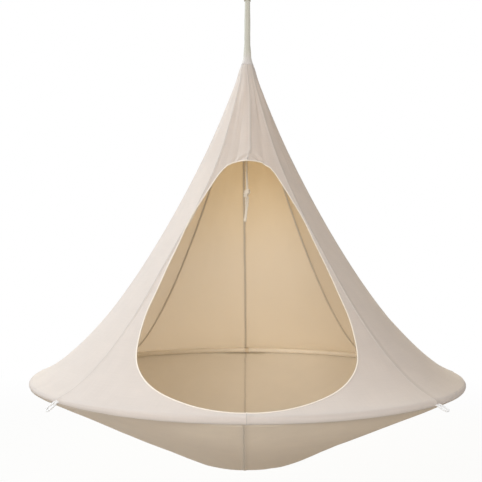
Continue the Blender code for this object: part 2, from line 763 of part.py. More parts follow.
def make_tie_loops(cotton, tent):
    """A doubled cord at the foot of each corner seam, standing out and down."""
    seam_normal = (math.cos(SEAM_SIDE), math.sin(SEAM_SIDE))
    start = WRAP_RADIUS + SEAT_GAP
    out, down = math.cos(LOOP_DROOP), -math.sin(LOOP_DROOP)
    for name, degrees in JOINT_ANGLES.items():
        angle = math.radians(degrees)
        radial = compass(1, angle, 0)
        across = Vector((0, 0, 1)).cross(radial)
        route = []
        for sign in (1, -1):
            strand = []
            for stem, reach, spread in ((0, 0, 1.0), (0.5, 0, 1.0), (1.0, 0, 1.0), (1.0, 0.4, 1.05),
                                        (1.0, 0.8, 0.95), (1.0, 1.0, 0.5)):
                level = start + stem * LOOP_STEM
                r = HOOP_RADIUS + level * seam_normal[0] + reach * LOOP_LENGTH * out
                z = level * seam_normal[1] + reach * LOOP_LENGTH * down
                aside = sign * spread * LOOP_SPACING / 2
                strand.append(radial * r + across * aside + Vector((0, 0, z)))
            route += strand if sign == 1 else strand[::-1]
        cord("tie_loop_" + name, smooth_path(route, 2), LOOP_RADIUS, cotton, tent, resolution=1)


def barrel_profile(inner, outer, length, turns, top):
    """The half outline of a coiled knot or winding: one rounded bump for each turn."""
    pitch = length / turns
    groove = outer - pitch * 0.28
    points = [(inner, top), (groove, top)]
    for k in range(turns):
        high = top - pitch * k
        points += [(outer, high - pitch * 0.3), (outer, high - pitch * 0.7), (groove, high - pitch)]
    return points + [(inner, top - length)]


def closed_turned(profile):
    """A turned solid with no hole: the outline starts and ends on the axis."""
    bm = bmesh.new()
    verts = [bm.verts.new((r, 0, z)) for r, z in profile]
    edges = [bm.edges.new(pair) for pair in zip(verts, verts[1:])]
    bmesh.ops.spin(bm, geom=verts + edges, cent=(0, 0, 0), axis=(0, 0, 1), angle=2 * math.pi, steps=12,
                   use_merge=True)
    bmesh.ops.remove_doubles(bm, verts=bm.verts, dist=0.000001)
    bmesh.ops.recalc_face_normals(bm, faces=bm.faces)
    return bm


def make_neck(canvas, twine, webbing, tent):
    """The sleeve over the rope, its whipping, and the collar sewn inside the canopy's tips."""
    bore = ROPE_RADIUS + SEAT_GAP
    foot = NECK_FOOT + SEAT_GAP
    sleeve = turned([(bore, foot), (NECK_FOOT_RADIUS, foot), (NECK_RADIUS, foot + NECK_TAPER),
                     (NECK_RADIUS, NECK_TOP), (bore, NECK_TOP)])
    mesh_object("neck_sleeve", sleeve, canvas, tent)
    whipping = turned(barrel_profile(NECK_RADIUS + SEAT_GAP, NECK_RADIUS + SEAT_GAP + WHIPPING_THICKNESS,
                                     WHIPPING_LENGTH, 3, NECK_TOP - WHIPPING_BELOW_TOP))
    mesh_object("neck_whipping", whipping, twine, tent)

    def inside_canopy(height):
        slope_allowance = 1.12
        return CURVE.radius_at_height(height) - (FABRIC + SEAT_GAP) * slope_allowance

    high = NECK_FOOT - COLLAR_TOP
    low = high - COLLAR_LENGTH
    levels = (low, (low + high) / 2, high)
    outline = [(bore, low)] + [(inside_canopy(z), z) for z in levels] + [(bore, high)]
    collar = turned(outline, steps=ROUND_STEPS // 2)
    mesh_object("apex_collar", collar, webbing, tent)
    return low


def make_inner_rope(collar_foot, rope, tent):
    """The stopper knot under the collar, and the rope's knotted tail that hangs in the tent."""
    top = collar_foot - SEAT_GAP
    bumps = barrel_profile(0.0, STOPPER_RADIUS, STOPPER_LENGTH, 3, top)
    mesh_object("stopper_knot", closed_turned(bumps), rope, tent)
    knot_top = NECK_FOOT - TAIL_KNOT_DROP
    tail_top = top - STOPPER_LENGTH - SEAT_GAP
    upper = smooth_path([(0, 0, tail_top), (0.001, 0, tail_top * 0.7 + knot_top * 0.3),
                         (-0.002, 0, tail_top * 0.3 + knot_top * 0.7), (0, 0, knot_top + SEAT_GAP)], 5)
    cord("rope_tail", upper, ROPE_RADIUS, rope, tent)
    knot = barrel_profile(0.0, TAIL_KNOT_RADIUS, TAIL_KNOT_LENGTH, 2, knot_top)
    mesh_object("tail_knot", closed_turned(knot), rope, tent)
    end_top = knot_top - TAIL_KNOT_LENGTH - SEAT_GAP
    lower = smooth_path([(0, 0, end_top), (-0.001, 0, end_top - TAIL_END_LENGTH * 0.35),
                         (-0.004, 0, end_top - TAIL_END_LENGTH * 0.7),
                         (-0.008, 0, end_top - TAIL_END_LENGTH)], 2)
    cord("rope_end", lower, ROPE_RADIUS, rope, tent)
    return top


def eye_arc(middle):
    """The rope's middle round the thimble, in the YZ plane, from the front leg over to the back."""
    return [Vector((0, -across, up))
            for across, up in arc(EYE_RADIUS, -EYE_LEAN, math.pi + EYE_LEAN, EYE_STEPS, middle)]


def across_the_eye(point):
    return Vector((point.x, -point.y, point.z))


def make_rope(rope_end, rope, twine, steel, rope_swing):
    """The hanging rope: an eye round a thimble, a seizing, and the standing rope into the neck."""
    origin = rope_swing.location.z
    eye = eye_arc(EYE_MIDDLE - origin)
    leg_foot = Vector((0, -LEG_OFFSET, LEG_FOOT - origin))
    seizing_foot = SEIZING_FOOT - origin
    joined = EYE_FOOT - origin
    end = rope_end - HOOP_DROP - origin

    leg = [eye[1], eye[0], eye[0].lerp(leg_foot, 0.35), eye[0].lerp(leg_foot, 0.7), leg_foot,
           leg_foot - Vector((0, 0, SEIZING_LENGTH / 2)), leg_foot - Vector((0, 0, SEIZING_LENGTH))]
    tail = leg + [leg[-1] - Vector((0, 0, TAIL_PAST_SEIZING))]
    standing = [across_the_eye(p) for p in leg]
    standing += [Vector((0, LEG_OFFSET / 2, (seizing_foot + joined) / 2)), Vector((0, 0, joined)),
                 Vector((0, 0, joined - LEG_JOIN_LENGTH))]
    per_span = 2
    path = smooth_path(tail, per_span)[per_span + 1:][::-1] + eye
    path += smooth_path(standing, per_span)[per_span + 1:]
    path.append(Vector((0, 0, end)))
    cord("suspension_rope", path, ROPE_RADIUS, rope, rope_swing)
    make_seizing(leg_foot.z, twine, rope_swing)
    make_thimble(eye, leg_foot, steel, rope_swing)


def make_seizing(top, twine, rope_swing):
    """The twine wound round both legs of the eye, as one smooth sleeve of even wall."""
    wall = ROPE_RADIUS + SEAT_GAP
    outside, inside = [], []
    for z in (top - SEIZING_MARGIN, top - SEIZING_LENGTH + SEIZING_MARGIN):
        for radius, rings in ((wall + SEIZING_THICKNESS, outside), (wall, inside)):
            ring = []
            for side in (1, -1):
                for k in range(9):
                    a = math.pi * k / 8
                    ring.append(Vector((side * radius * math.cos(a),
                                        side * (LEG_OFFSET + radius * math.sin(a)), z)))
            rings.append(ring)
    mesh_object("eye_seizing", loft(outside, inner=inside), twine, rope_swing)


def make_thimble(eye, leg_foot, steel, rope_swing):
    """A grooved steel teardrop: the groove's section carried along the rope's own line."""
    legs = [eye[0].lerp(leg_foot, share) for share in (THIMBLE_TIP, THIMBLE_TIP / 2)]
    route = legs + eye + [across_the_eye(p) for p in legs[::-1]]
    inside = Vector((0, 0, (eye[0].z + leg_foot.z) / 2))
    rings = []
    for i, here in enumerate(route):
        before = (here - route[i - 1]).normalized() if i else Vector()
        after = (route[i + 1] - here).normalized() if i < len(route) - 1 else Vector()
        along = (before + after).normalized()
        mitre = 1 / max(along.dot(after), along.dot(before))
        inwards = along.cross(Vector((1, 0, 0)))
        if inwards.dot(inside - here) < 0:
            inwards = -inwards
        ring = []
        for radius, order in ((GROOVE, 1), (GROOVE + THIMBLE_WALL, -1)):
            for k in range(THIMBLE_SIDES + 1):
                a = order * THIMBLE_CUP * (2 * k / THIMBLE_SIDES - 1)
                ring.append(here + inwards * (mitre * radius * math.cos(a))
                            + Vector((radius * math.sin(a), 0, 0)))
        rings.append(ring)
    mesh_object("thimble", loft(rings), steel, rope_swing)


def make_spring_hook(steel, bright, hook_swing):
    """An oval spring hook: body bar with a hinge tongue and a latch nose, and a sprung gate."""
    origin = hook_swing.location.z
    high = HOOK_HIGH_BEND - origin
    low = HOOK_LOW_BEND - origin
    right = HOOK_BEND
    bend_steps = 12
    outline = [(right, high - HINGE_SHOULDER)] + arc(HOOK_BEND, 0, math.pi, bend_steps, high)
    outline += arc(HOOK_BEND, math.pi, 2 * math.pi, bend_steps, low) + [(right, low + LATCH_SHOULDER)]
    bar = bent_bar([Vector((x, 0, z)) for x, z in outline], BAR_RADIUS, BAR_SIDES, Vector((0, 1, 0)))
    body = mesh_object("hook_body", bar, steel, hook_swing)

    pin_z = high - GATE_PIN_BELOW_BEND
    latch_z = low + LATCH_PIN_ABOVE_BEND
    nose_top = low + NOSE_HEIGHT
    tongue = cylinder(HINGE_TONGUE_RADIUS, TONGUE_THICKNESS, (right, 0, pin_z), "Y", 20)
    boolean(body, guide("hinge_tongue", tongue, hook_swing), "UNION")
    stalk_height = high - HINGE_SHOULDER + TONGUE_SUNK - pin_z
    stalk = block((2 * HINGE_TONGUE_RADIUS * 0.96, TONGUE_THICKNESS * 0.98, stalk_height),
                  (right, 0, pin_z + stalk_height / 2))
    boolean(body, guide("hinge_stalk", stalk, hook_swing), "UNION")
    nose_foot = low - TONGUE_SUNK
    nose_middle = (nose_top + nose_foot) / 2
    nose = block((NOSE_WIDTH, TONGUE_THICKNESS, nose_top - nose_foot), (right, 0, nose_middle))
    boolean(body, guide("latch_nose", nose, hook_swing), "UNION")
    notch_half = LATCH_PIN_RADIUS + SLOT_CLEARANCE
    notch = block((NOSE_WIDTH, 2 * TONGUE_THICKNESS, 2 * notch_half),
                  (right + notch_half - NOSE_WIDTH / 2, 0, latch_z + NOTCH_LIFT))
    boolean(body, guide("latch_notch", notch, hook_swing))
    hole = cylinder(HINGE_PIN_RADIUS + PIN_CLEARANCE, 4 * BAR_RADIUS, (right, 0, pin_z), "Y", 12)
    boolean(body, guide("hinge_hole", hole, hook_swing))

    pin_length = 2 * BAR_RADIUS - 2 * PIN_CLEARANCE
    pin = cylinder(HINGE_PIN_RADIUS, pin_length, (right, 0, pin_z), "Y", 12)
    mesh_object("hinge_pin", pin, bright, hook_swing)

    gate_axis = axis_empty("gate_axis", (right, 0, pin_z), hook_swing)
    make_gate(pin_z, latch_z, low, steel, bright, gate_axis)


def make_gate(pin_z, latch_z, low, steel, bright, gate_axis):
    """The gate bar, slotted at both ends over the tongues, with its latch pin, spring and plunger."""
    slot = TONGUE_THICKNESS + 2 * TONGUE_CLEARANCE
    foot = low + LATCH_SHOULDER + GATE_END_GAP - pin_z
    length = BAR_RADIUS - foot
    bar = cylinder(BAR_RADIUS, length, (0, 0, foot + length / 2), "Z", 16)
    gate = mesh_object("hook_gate", bar, steel, gate_axis)
    round_end = cylinder(BAR_RADIUS * 1.02, 4 * BAR_RADIUS, (0, 0, 0), "Y", 24)
    long_part = 2 * BAR_RADIUS - foot
    shaft = block((4 * BAR_RADIUS, 4 * BAR_RADIUS, long_part), (0, 0, -long_part / 2))
    rounder = guide("gate_round_end", round_end, gate_axis)
    keep = guide("gate_keep", shaft, gate_axis)
    boolean(keep, rounder, "UNION")
    boolean(gate, keep, "INTERSECT")
    hinge_slot_foot = -HINGE_TONGUE_RADIUS - TONGUE_CLEARANCE - HINGE_SLOT_ROOM
    top_slot = block((4 * BAR_RADIUS, slot, 3 * BAR_RADIUS), (0, 0, hinge_slot_foot + 1.5 * BAR_RADIUS))
    boolean(gate, guide("gate_hinge_slot", top_slot, gate_axis))
    nose_room = low + NOSE_HEIGHT + LATCH_SLOT_ROOM - pin_z
    low_slot = block((4 * BAR_RADIUS, slot, 4 * BAR_RADIUS), (0, 0, nose_room - 2 * BAR_RADIUS))
    boolean(gate, guide("gate_latch_slot", low_slot, gate_axis))
    hinge_hole = cylinder(HINGE_PIN_RADIUS + PIN_CLEARANCE, 4 * BAR_RADIUS, (0, 0, 0), "Y", 12)
    boolean(gate, guide("gate_hinge_hole", hinge_hole, gate_axis))
    latch_at = (0, 0, latch_z - pin_z)
    latch_hole = cylinder(LATCH_PIN_RADIUS + PIN_CLEARANCE, 4 * BAR_RADIUS, latch_at, "Y", 12)
    boolean(gate, guide("gate_latch_hole", latch_hole, gate_axis))
    bore_length = GATE_BORE_DEPTH + BORE_OVERCUT
    bore = cylinder(GATE_BORE, bore_length, (0, 0, hinge_slot_foot + BORE_OVERCUT - bore_length / 2),
                    "Z", 12)
    boolean(gate, guide("gate_bore", bore, gate_axis))

    latch = cylinder(LATCH_PIN_RADIUS, 2 * BAR_RADIUS - 2 * PIN_CLEARANCE, latch_at, "Y", 12)
    mesh_object("latch_pin", latch, bright, gate_axis)
    plunger_top = -HINGE_TONGUE_RADIUS - SEAT_GAP
    plunger = cylinder(PLUNGER_RADIUS, PLUNGER_LENGTH, (0, 0, plunger_top - PLUNGER_LENGTH / 2), "Z", 12)
    mesh_object("gate_plunger", plunger, bright, gate_axis)
    spring_top = plunger_top - PLUNGER_LENGTH - SEAT_GAP - GATE_SPRING_WIRE
    spring_foot = hinge_slot_foot - GATE_BORE_DEPTH + SEAT_GAP + GATE_SPRING_WIRE
    coil_radius = PLUNGER_RADIUS - GATE_SPRING_WIRE
    per_turn = 8
    count = GATE_SPRING_TURNS * per_turn
    coil = [Vector((coil_radius * math.cos(2 * math.pi * k / per_turn),
                    coil_radius * math.sin(2 * math.pi * k / per_turn),
                    spring_foot + (spring_top - spring_foot) * k / count)) for k in range(count + 1)]
    cord("gate_spring", coil, GATE_SPRING_WIRE, bright, gate_axis, resolution=0)


def make_ceiling_eye(steel):
    """A square plate with four screw holes and a bar bent down into an eye."""
    plate = block((PLATE_SIDE, PLATE_SIDE, PLATE_THICKNESS), (0, 0, -PLATE_THICKNESS / 2))
    corners = [e for e in plate.edges if abs(e.verts[0].co.z - e.verts[1].co.z) > PLATE_THICKNESS / 2]
    bmesh.ops.bevel(plate, geom=corners, offset=PLATE_CORNER, segments=4, profile=0.5,
                    affect="EDGES", material=-1)
    body = mesh_object("ceiling_eye", plate, steel)
    middle = -EYE_DROP + EYE_BEND
    top = -PLATE_THICKNESS / 2
    bend_steps = 10
    outline = [(-EYE_BEND, top)] + arc(EYE_BEND, -math.pi, 0, bend_steps, middle) + [(EYE_BEND, top)]
    bar = bent_bar([Vector((0, y, z)) for y, z in outline], EYE_BAR, BAR_SIDES, Vector((1, 0, 0)))
    boolean(body, guide("eye_bar", bar), "UNION")
    for x in (-SCREW_SPACING / 2, SCREW_SPACING / 2):
        for y in (-SCREW_SPACING / 2, SCREW_SPACING / 2):
            hole = cylinder(SCREW_HOLE, 3 * PLATE_THICKNESS, (x, y, 0), "Z", 16)
            boolean(body, guide("screw_hole", hole))


def main():
    clear_scene()
    canvas = material("canvas", (0.70, 0.64, 0.57), 0.9)
    lining = material("sleeve_canvas", (0.62, 0.54, 0.44), 0.9)
    tape = material("binding_tape", (0.90, 0.83, 0.74), 0.85)
    neck_canvas = material("neck_canvas", (0.60, 0.59, 0.50), 0.9)
    webbing = material("collar_webbing", (0.62, 0.56, 0.48), 0.9)
    cotton = material("white_cord", (0.86, 0.84, 0.80), 0.85)
    rope = material("cream_rope", (0.82, 0.77, 0.68), 0.85)
    twine = material("whipping_twine", (0.55, 0.50, 0.42), 0.85)
    aluminium = material("hoop_aluminium", (0.72, 0.73, 0.75), 0.35, 1.0)
    zinc = material("zinc_steel", (0.66, 0.67, 0.69), 0.3, 1.0)
    bright = material("bright_steel", (0.75, 0.75, 0.76), 0.25, 1.0)

    make_ceiling_eye(zinc)
    hook_swing = axis_empty("hook_swing_axis", (0, 0, -EYE_DROP))
    make_spring_hook(zinc, bright, hook_swing)
    rope_swing = axis_empty("rope_swing_axis", (0, 0, HOOK_LOW_BAR))
    tent = axis_empty("tent_axis", (0, 0, -HOOP_DROP))
    collar_foot = make_neck(neck_canvas, twine, webbing, tent)
    rope_end = make_inner_rope(collar_foot, rope, tent)
    make_rope(rope_end + SEAT_GAP, rope, twine, zinc, rope_swing)
    make_canopy(canvas, tent)
    make_door_binding(tape, tent)
    make_hoop(aluminium, bright, lining, tent)
    make_bowl(canvas, tent)
    make_tie_loops(cotton, tent)


main()
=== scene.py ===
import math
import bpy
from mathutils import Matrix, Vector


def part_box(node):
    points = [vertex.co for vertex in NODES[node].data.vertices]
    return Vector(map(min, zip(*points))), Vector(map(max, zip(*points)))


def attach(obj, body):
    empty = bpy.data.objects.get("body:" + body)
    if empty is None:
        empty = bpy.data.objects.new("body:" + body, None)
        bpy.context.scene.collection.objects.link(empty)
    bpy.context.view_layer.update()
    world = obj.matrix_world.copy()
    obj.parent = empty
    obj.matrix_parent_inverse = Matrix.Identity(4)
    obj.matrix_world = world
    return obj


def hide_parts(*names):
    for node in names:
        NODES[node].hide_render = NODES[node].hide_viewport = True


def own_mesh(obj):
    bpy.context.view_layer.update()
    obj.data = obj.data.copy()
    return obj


bl_info = {
    "name": "Hanging Tent",
    "version": (1, 0, 0),
    "blender": (4, 5, 0),
    "location": "3D View > Sidebar > Tent",
    "description": "Dresses the hanging tent in canvas, tape, rope and steel, and lights it",
    "category": "Object",
}

import bmesh
import bpy
from bpy.props import FloatProperty, FloatVectorProperty, IntProperty, PointerProperty
from mathutils import Matrix, Vector, noise

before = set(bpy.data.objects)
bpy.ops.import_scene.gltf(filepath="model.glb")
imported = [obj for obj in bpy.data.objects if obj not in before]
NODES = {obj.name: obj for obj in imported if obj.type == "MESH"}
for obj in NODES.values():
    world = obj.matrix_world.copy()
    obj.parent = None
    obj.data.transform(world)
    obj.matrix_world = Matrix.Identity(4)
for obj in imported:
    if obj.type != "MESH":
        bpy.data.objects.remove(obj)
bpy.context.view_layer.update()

GORES = 8
BOWL_GORES = 4
CORNERS = {"front_right": 45, "back_right": 135, "back_left": 225, "front_left": 315}
CANOPY_NODES = [name for name in NODES if name.startswith("canopy_gore_")]
BOWL_NODES = [name for name in NODES if name.startswith("bowl_gore_")]
TUBE_LOW, TUBE_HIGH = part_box("hoop_tube_front")
HOOP_Z = (TUBE_LOW.z + TUBE_HIGH.z) / 2


def paint(red, green, blue):
    """A display colour, 0 to 255, as the linear colour that a shader takes."""
    return tuple(c / 12.92 if c <= 0.04045 else ((c + 0.055) / 1.055) ** 2.4
                 for c in (red / 255, green / 255, blue / 255))


def length(name, default, description):
    return FloatProperty(name=name, default=default, description=description, unit="LENGTH",
                         precision=4, min=0.0)


def turn(name, degrees, description):
    return FloatProperty(name=name, default=math.radians(degrees), description=description,
                         unit="ROTATION")


def colour(name, default, description):
    return FloatVectorProperty(name=name, default=paint(*default), description=description,
                               subtype="COLOR", size=3, min=0.0, max=1.0)


class TentCanvas(bpy.types.PropertyGroup):
    hoop_radius: length("Hoop radius", 0.745, "To the middle of the tube")
    wrap_radius: length("Wrap radius", 0.01244, "Outer face of the canvas round the hoop")
    height: length("Canopy height", 1.180, "Middle of the hoop up to the foot of the neck")
    tip_radius: length("Tip radius", 0.0115, "Of the canopy at the foot of the neck")
    skirt_slope: turn("Skirt slope", 18.6, "Of the canvas where it leaves the hoop")
    skirt_pull: length("Skirt pull", 0.299, "How far the skirt's slope carries inwards")
    neck_lean: turn("Neck lean", 12.4, "Of the canvas at the tip, from upright")
    neck_pull: length("Neck pull", 0.228, "How far the tip's lean carries down")
    flatness: FloatProperty(name="Panel flatness", default=0.75, min=0, max=1,
                            description="0 is a round cone, 1 is flat panels between the seams")
    thickness: length("Canvas thickness", 0.0012, "Of every canvas panel")
    yarn: length("Yarn", 0.0009, "Width of one yarn of the weave")
    outside: colour("Outside", (237, 229, 223), "Cream canvas, outer face")
    # Painted light: the inner face is the same canvas as the outer, and its warmer tone stands for the glow of light
    # let through the canvas and bounced round inside.
    inside: colour("Inside", (244, 233, 215), "Cream canvas, inner face")
    through: FloatProperty(name="Light through", default=0.36, min=0, max=1, subtype="FACTOR",
                           description="Share of the light that passes through the canvas")
    thread: colour("Thread", (240, 232, 222), "Sewing thread")


class TentDoor(bpy.types.PropertyGroup):
    sill: length("Sill", 0.0085, "Run of canvas between the hoop and the sill")
    height: length("Door height", 0.9415, "Run of canvas from sill to head")
    tape_width: length("Tape width", 0.0042, "Of the folded binding, seen from the front")
    tape_depth: length("Tape depth", 0.0030, "Through the folded binding")
    tape: colour("Tape", (246, 234, 218), "Pale cotton tape")


class TentBowl(bpy.types.PropertyGroup):
    slope: turn("Slope", 27, "Of the straight part under the hoop")
    round_radius: length("Round part", 0.250, "Radius at which the bottom starts to round")
    seam_side: turn("Hoop seam", -63, "Place of the hoop seam round the tube, from its outermost line")
    # Painted shade: the bowl's outer tone, darker than the canopy's canvas, stands for the shade under the tent.
    outside: colour("Outside", (222, 209, 193), "Heavier canvas of the bowl, outer face")
    # Painted light: the bowl's inner face is painted near white, brighter than its outer, for the light that falls
    # inside the bowl.
    inside: colour("Inside", (253, 245, 230), "Heavier canvas of the bowl, inner face")
    through: FloatProperty(name="Light through", default=0.34, min=0, max=1, subtype="FACTOR",
                           description="Share of the light that passes through the bowl's canvas")


class TentRope(bpy.types.PropertyGroup):
    diameter: length("Rope diameter", 0.010, "Of the three-strand rope")
    lay: length("Lay", 0.034, "Length in which a strand turns once")
    twine_diameter: length("Twine diameter", 0.0022, "Of the whipping and the seizing")
    loop_diameter: length("Loop cord diameter", 0.006, "Of the tie loops")
    rope: colour("Rope", (252, 245, 233), "Cream cotton")
    twine: colour("Twine", (196, 182, 158), "Waxed linen twine")
    cotton: colour("Loop cord", (253, 252, 251), "White cotton")
    neck: colour("Neck", (206, 203, 190), "Greenish cream canvas of the neck")


class TentStage(bpy.types.PropertyGroup):
    distance: length("Camera distance", 2.344, "In front of the tent's axis")
    eye_height: length("Camera over the hoop", 0.3565, "Above the middle of the hoop tube")
    lens: FloatProperty(name="Lens", default=47.28, unit="CAMERA", description="On a 36 mm sensor")
    floor_drop: length("Floor", 0.90, "Below the middle of the hoop tube")
    left_power: FloatProperty(name="Left light", default=186.0, unit="POWER", description="High on the left")
    front_power: FloatProperty(name="Front light", default=98.0, unit="POWER", description="In front")
    back_power: FloatProperty(name="Back light", default=112.0, unit="POWER",
                              description="Behind, for the glow of the canvas inside")
    sky: FloatProperty(name="Sky", default=0.5, min=0, description="Strength of the light all round")


# Shader nodes

def put(tree, value, socket):
    """Link a socket, or set it to a plain value."""
    if isinstance(value, bpy.types.NodeSocket):
        tree.links.new(value, socket)
    elif value is not None:
        socket.default_value = value


def node(tree, kind, *values, **settings):
    """A new node with its settings, and its first inputs linked or set."""
    made = tree.nodes.new(kind)
    for name, setting in settings.items():
        setattr(made, name, setting)
    for value, socket in zip(values, made.inputs):
        put(tree, value, socket)
    return made


def sums(tree, operation, *values, clamp=False):
    return node(tree, "ShaderNodeMath", *values, operation=operation, use_clamp=clamp).outputs[0]


def scaled(tree, vector, scale):
    return node(tree, "ShaderNodeVectorMath", vector, scale, operation="MULTIPLY").outputs[0]


def span(tree, value, low, high, to_low=0.0, to_high=1.0):
    """A value carried from one range to another, smoothly and no further."""
    return node(tree, "ShaderNodeMapRange", value, low, high, to_low, to_high,
                interpolation_type="SMOOTHSTEP").outputs[0]


def grain(tree, vector, scale, detail=2.0):
    return node(tree, "ShaderNodeTexNoise", vector, None, scale, detail).outputs["Fac"]


def blended(tree, share, first, second, way="MIX"):
    made = node(tree, "ShaderNodeMix", data_type="RGBA", blend_type=way)
    put(tree, share, made.inputs["Factor"])
    for value, place in ((first, 6), (second, 7)):
        put(tree, value if isinstance(value, bpy.types.NodeSocket) else (*value, 1.0), made.inputs[place])
    return made.outputs[2]


def shader_group(name, inputs, outputs):
    """An empty node group with named sockets, and its ends."""
    group = bpy.data.node_groups.new(name, "ShaderNodeTree")
    for label, kind, default in inputs:
        group.interface.new_socket(name=label, in_out="INPUT", socket_type=kind).default_value = default
    for label in outputs:
        group.interface.new_socket(name=label, in_out="OUTPUT", socket_type="NodeSocketFloat")
    return group, group.nodes.new("NodeGroupInput"), group.nodes.new("NodeGroupOutput")


def weave_group():
    """Plain weave: yarns over and under each other, some thicker than others."""
    if "plain weave" in bpy.data.node_groups:
        return bpy.data.node_groups["plain weave"]
    group, start, end = shader_group(
        "plain weave", [("Cloth", "NodeSocketVector", (0, 0, 0)), ("Yarn", "NodeSocketFloat", 0.001)],
        ["Height", "Slub"])
    cloth, yarn = start.outputs[:2]
    parts = node(group, "ShaderNodeSeparateXYZ", cloth)
    waves = [sums(group, "SINE", sums(group, "DIVIDE", sums(group, "MULTIPLY", parts.outputs[i], math.pi), yarn))
             for i in (0, 1)]
    put(group, sums(group, "MULTIPLY_ADD", sums(group, "MULTIPLY", *waves), 0.5, 0.5), end.inputs[0])
    slubs = [grain(group, scaled(group, cloth, scale), 1.0) for scale in ((9, 420, 1), (420, 9, 1))]
    put(group, sums(group, "MULTIPLY_ADD", sums(group, "ADD", *slubs), 0.5, 0.0), end.inputs[1])
    return group


def stitch_group():
    """A row of stitches at a distance from a seam."""
    if "stitch row" in bpy.data.node_groups:
        return bpy.data.node_groups["stitch row"]
    group, start, end = shader_group(
        "stitch row", [("Distance", "NodeSocketFloat", 1.0), ("Along", "NodeSocketFloat", 0.0),
                       ("Row", "NodeSocketFloat", 0.003), ("Stitch", "NodeSocketFloat", 0.004)],
        ["Thread"])
    distance, along, row, stitch = start.outputs[:4]
    off = sums(group, "ABSOLUTE", sums(group, "SUBTRACT", distance, row))
    line = span(group, off, 0.0003, 0.0006, 1.0, 0.0)
    place = sums(group, "FRACT", sums(group, "DIVIDE", along, stitch))
    dash = span(group, sums(group, "ABSOLUTE", sums(group, "SUBTRACT", place, 0.5)), 0.30, 0.42, 1.0, 0.0)
    put(group, sums(group, "MULTIPLY", line, dash), end.inputs[0])
    return group


def twist_group():
    """Yarns that run slantwise round a strand."""
    if "twisted yarns" in bpy.data.node_groups:
        return bpy.data.node_groups["twisted yarns"]
    group, start, end = shader_group(
        "twisted yarns", [("Around", "NodeSocketFloat", 0.0), ("Along", "NodeSocketFloat", 0.0),
                          ("Yarns", "NodeSocketFloat", 6.0), ("Lay", "NodeSocketFloat", 0.01)],
        ["Height"])
    around, along, yarns, lay = start.outputs[:4]
    phase = sums(group, "ADD", sums(group, "MULTIPLY", around, yarns),
                 sums(group, "DIVIDE", sums(group, "MULTIPLY", along, yarns), lay))
    wave = sums(group, "SINE", sums(group, "MULTIPLY", phase, math.pi))
    put(group, sums(group, "ABSOLUTE", wave), end.inputs[0])
    return group


def soil_group():
    """Patches of a slightly deeper tone, wide and narrow."""
    if "soft patches" in bpy.data.node_groups:
        return bpy.data.node_groups["soft patches"]
    group, start, end = shader_group("soft patches", [("Vector", "NodeSocketVector", (0, 0, 0))], ["Patches"])
    wide = grain(group, start.outputs[0], 2.6, 3.0)
    narrow = grain(group, start.outputs[0], 17.0, 4.0)
    put(group, sums(group, "MULTIPLY_ADD", narrow, 0.35, sums(group, "MULTIPLY", wide, 0.65)), end.inputs[0])
    return group


def use(tree, group, *values):
    made = tree.nodes.new("ShaderNodeGroup")
    made.node_tree = group
    for value, socket in zip(values, made.inputs):
        put(tree, value, socket)
    return made.outputs


def surface(name, roughness, metallic=0.0, sheen=0.0, specular=0.5):
    """A material, its tree and its Principled shader."""
    made = bpy.data.materials.new(name)
    made.use_nodes = True
    shader = made.node_tree.nodes["Principled BSDF"]
    shader.inputs["Metallic"].default_value = metallic
    shader.inputs["Sheen Weight"].default_value = sheen
    shader.inputs["Specular IOR Level"].default_value = specular
    put(made.node_tree, roughness, shader.inputs["Roughness"])
    return made, made.node_tree, shader


def attribute(tree, name):
    return node(tree, "ShaderNodeAttribute", attribute_name=name).outputs["Fac"]


def object_place(tree):
    return node(tree, "ShaderNodeTexCoord").outputs["Object"]


def let_through(tree, shader, colours, share):
    """Some of the light passes through the cloth."""
    through = node(tree, "ShaderNodeBsdfTranslucent", colours)
    mixed = node(tree, "ShaderNodeMixShader", share, shader.outputs[0], through.outputs[0])
    put(tree, mixed.outputs[0], tree.nodes["Material Output"].inputs[0])


def raised(tree, shader, height, distance, strength=1.0):
    bump = node(tree, "ShaderNodeBump", strength, distance)
    put(tree, height, bump.inputs["Height"])
    put(tree, bump.outputs[0], shader.inputs["Normal"])


def shade_of(colour_now, darker):
    return tuple(c * darker for c in colour_now)


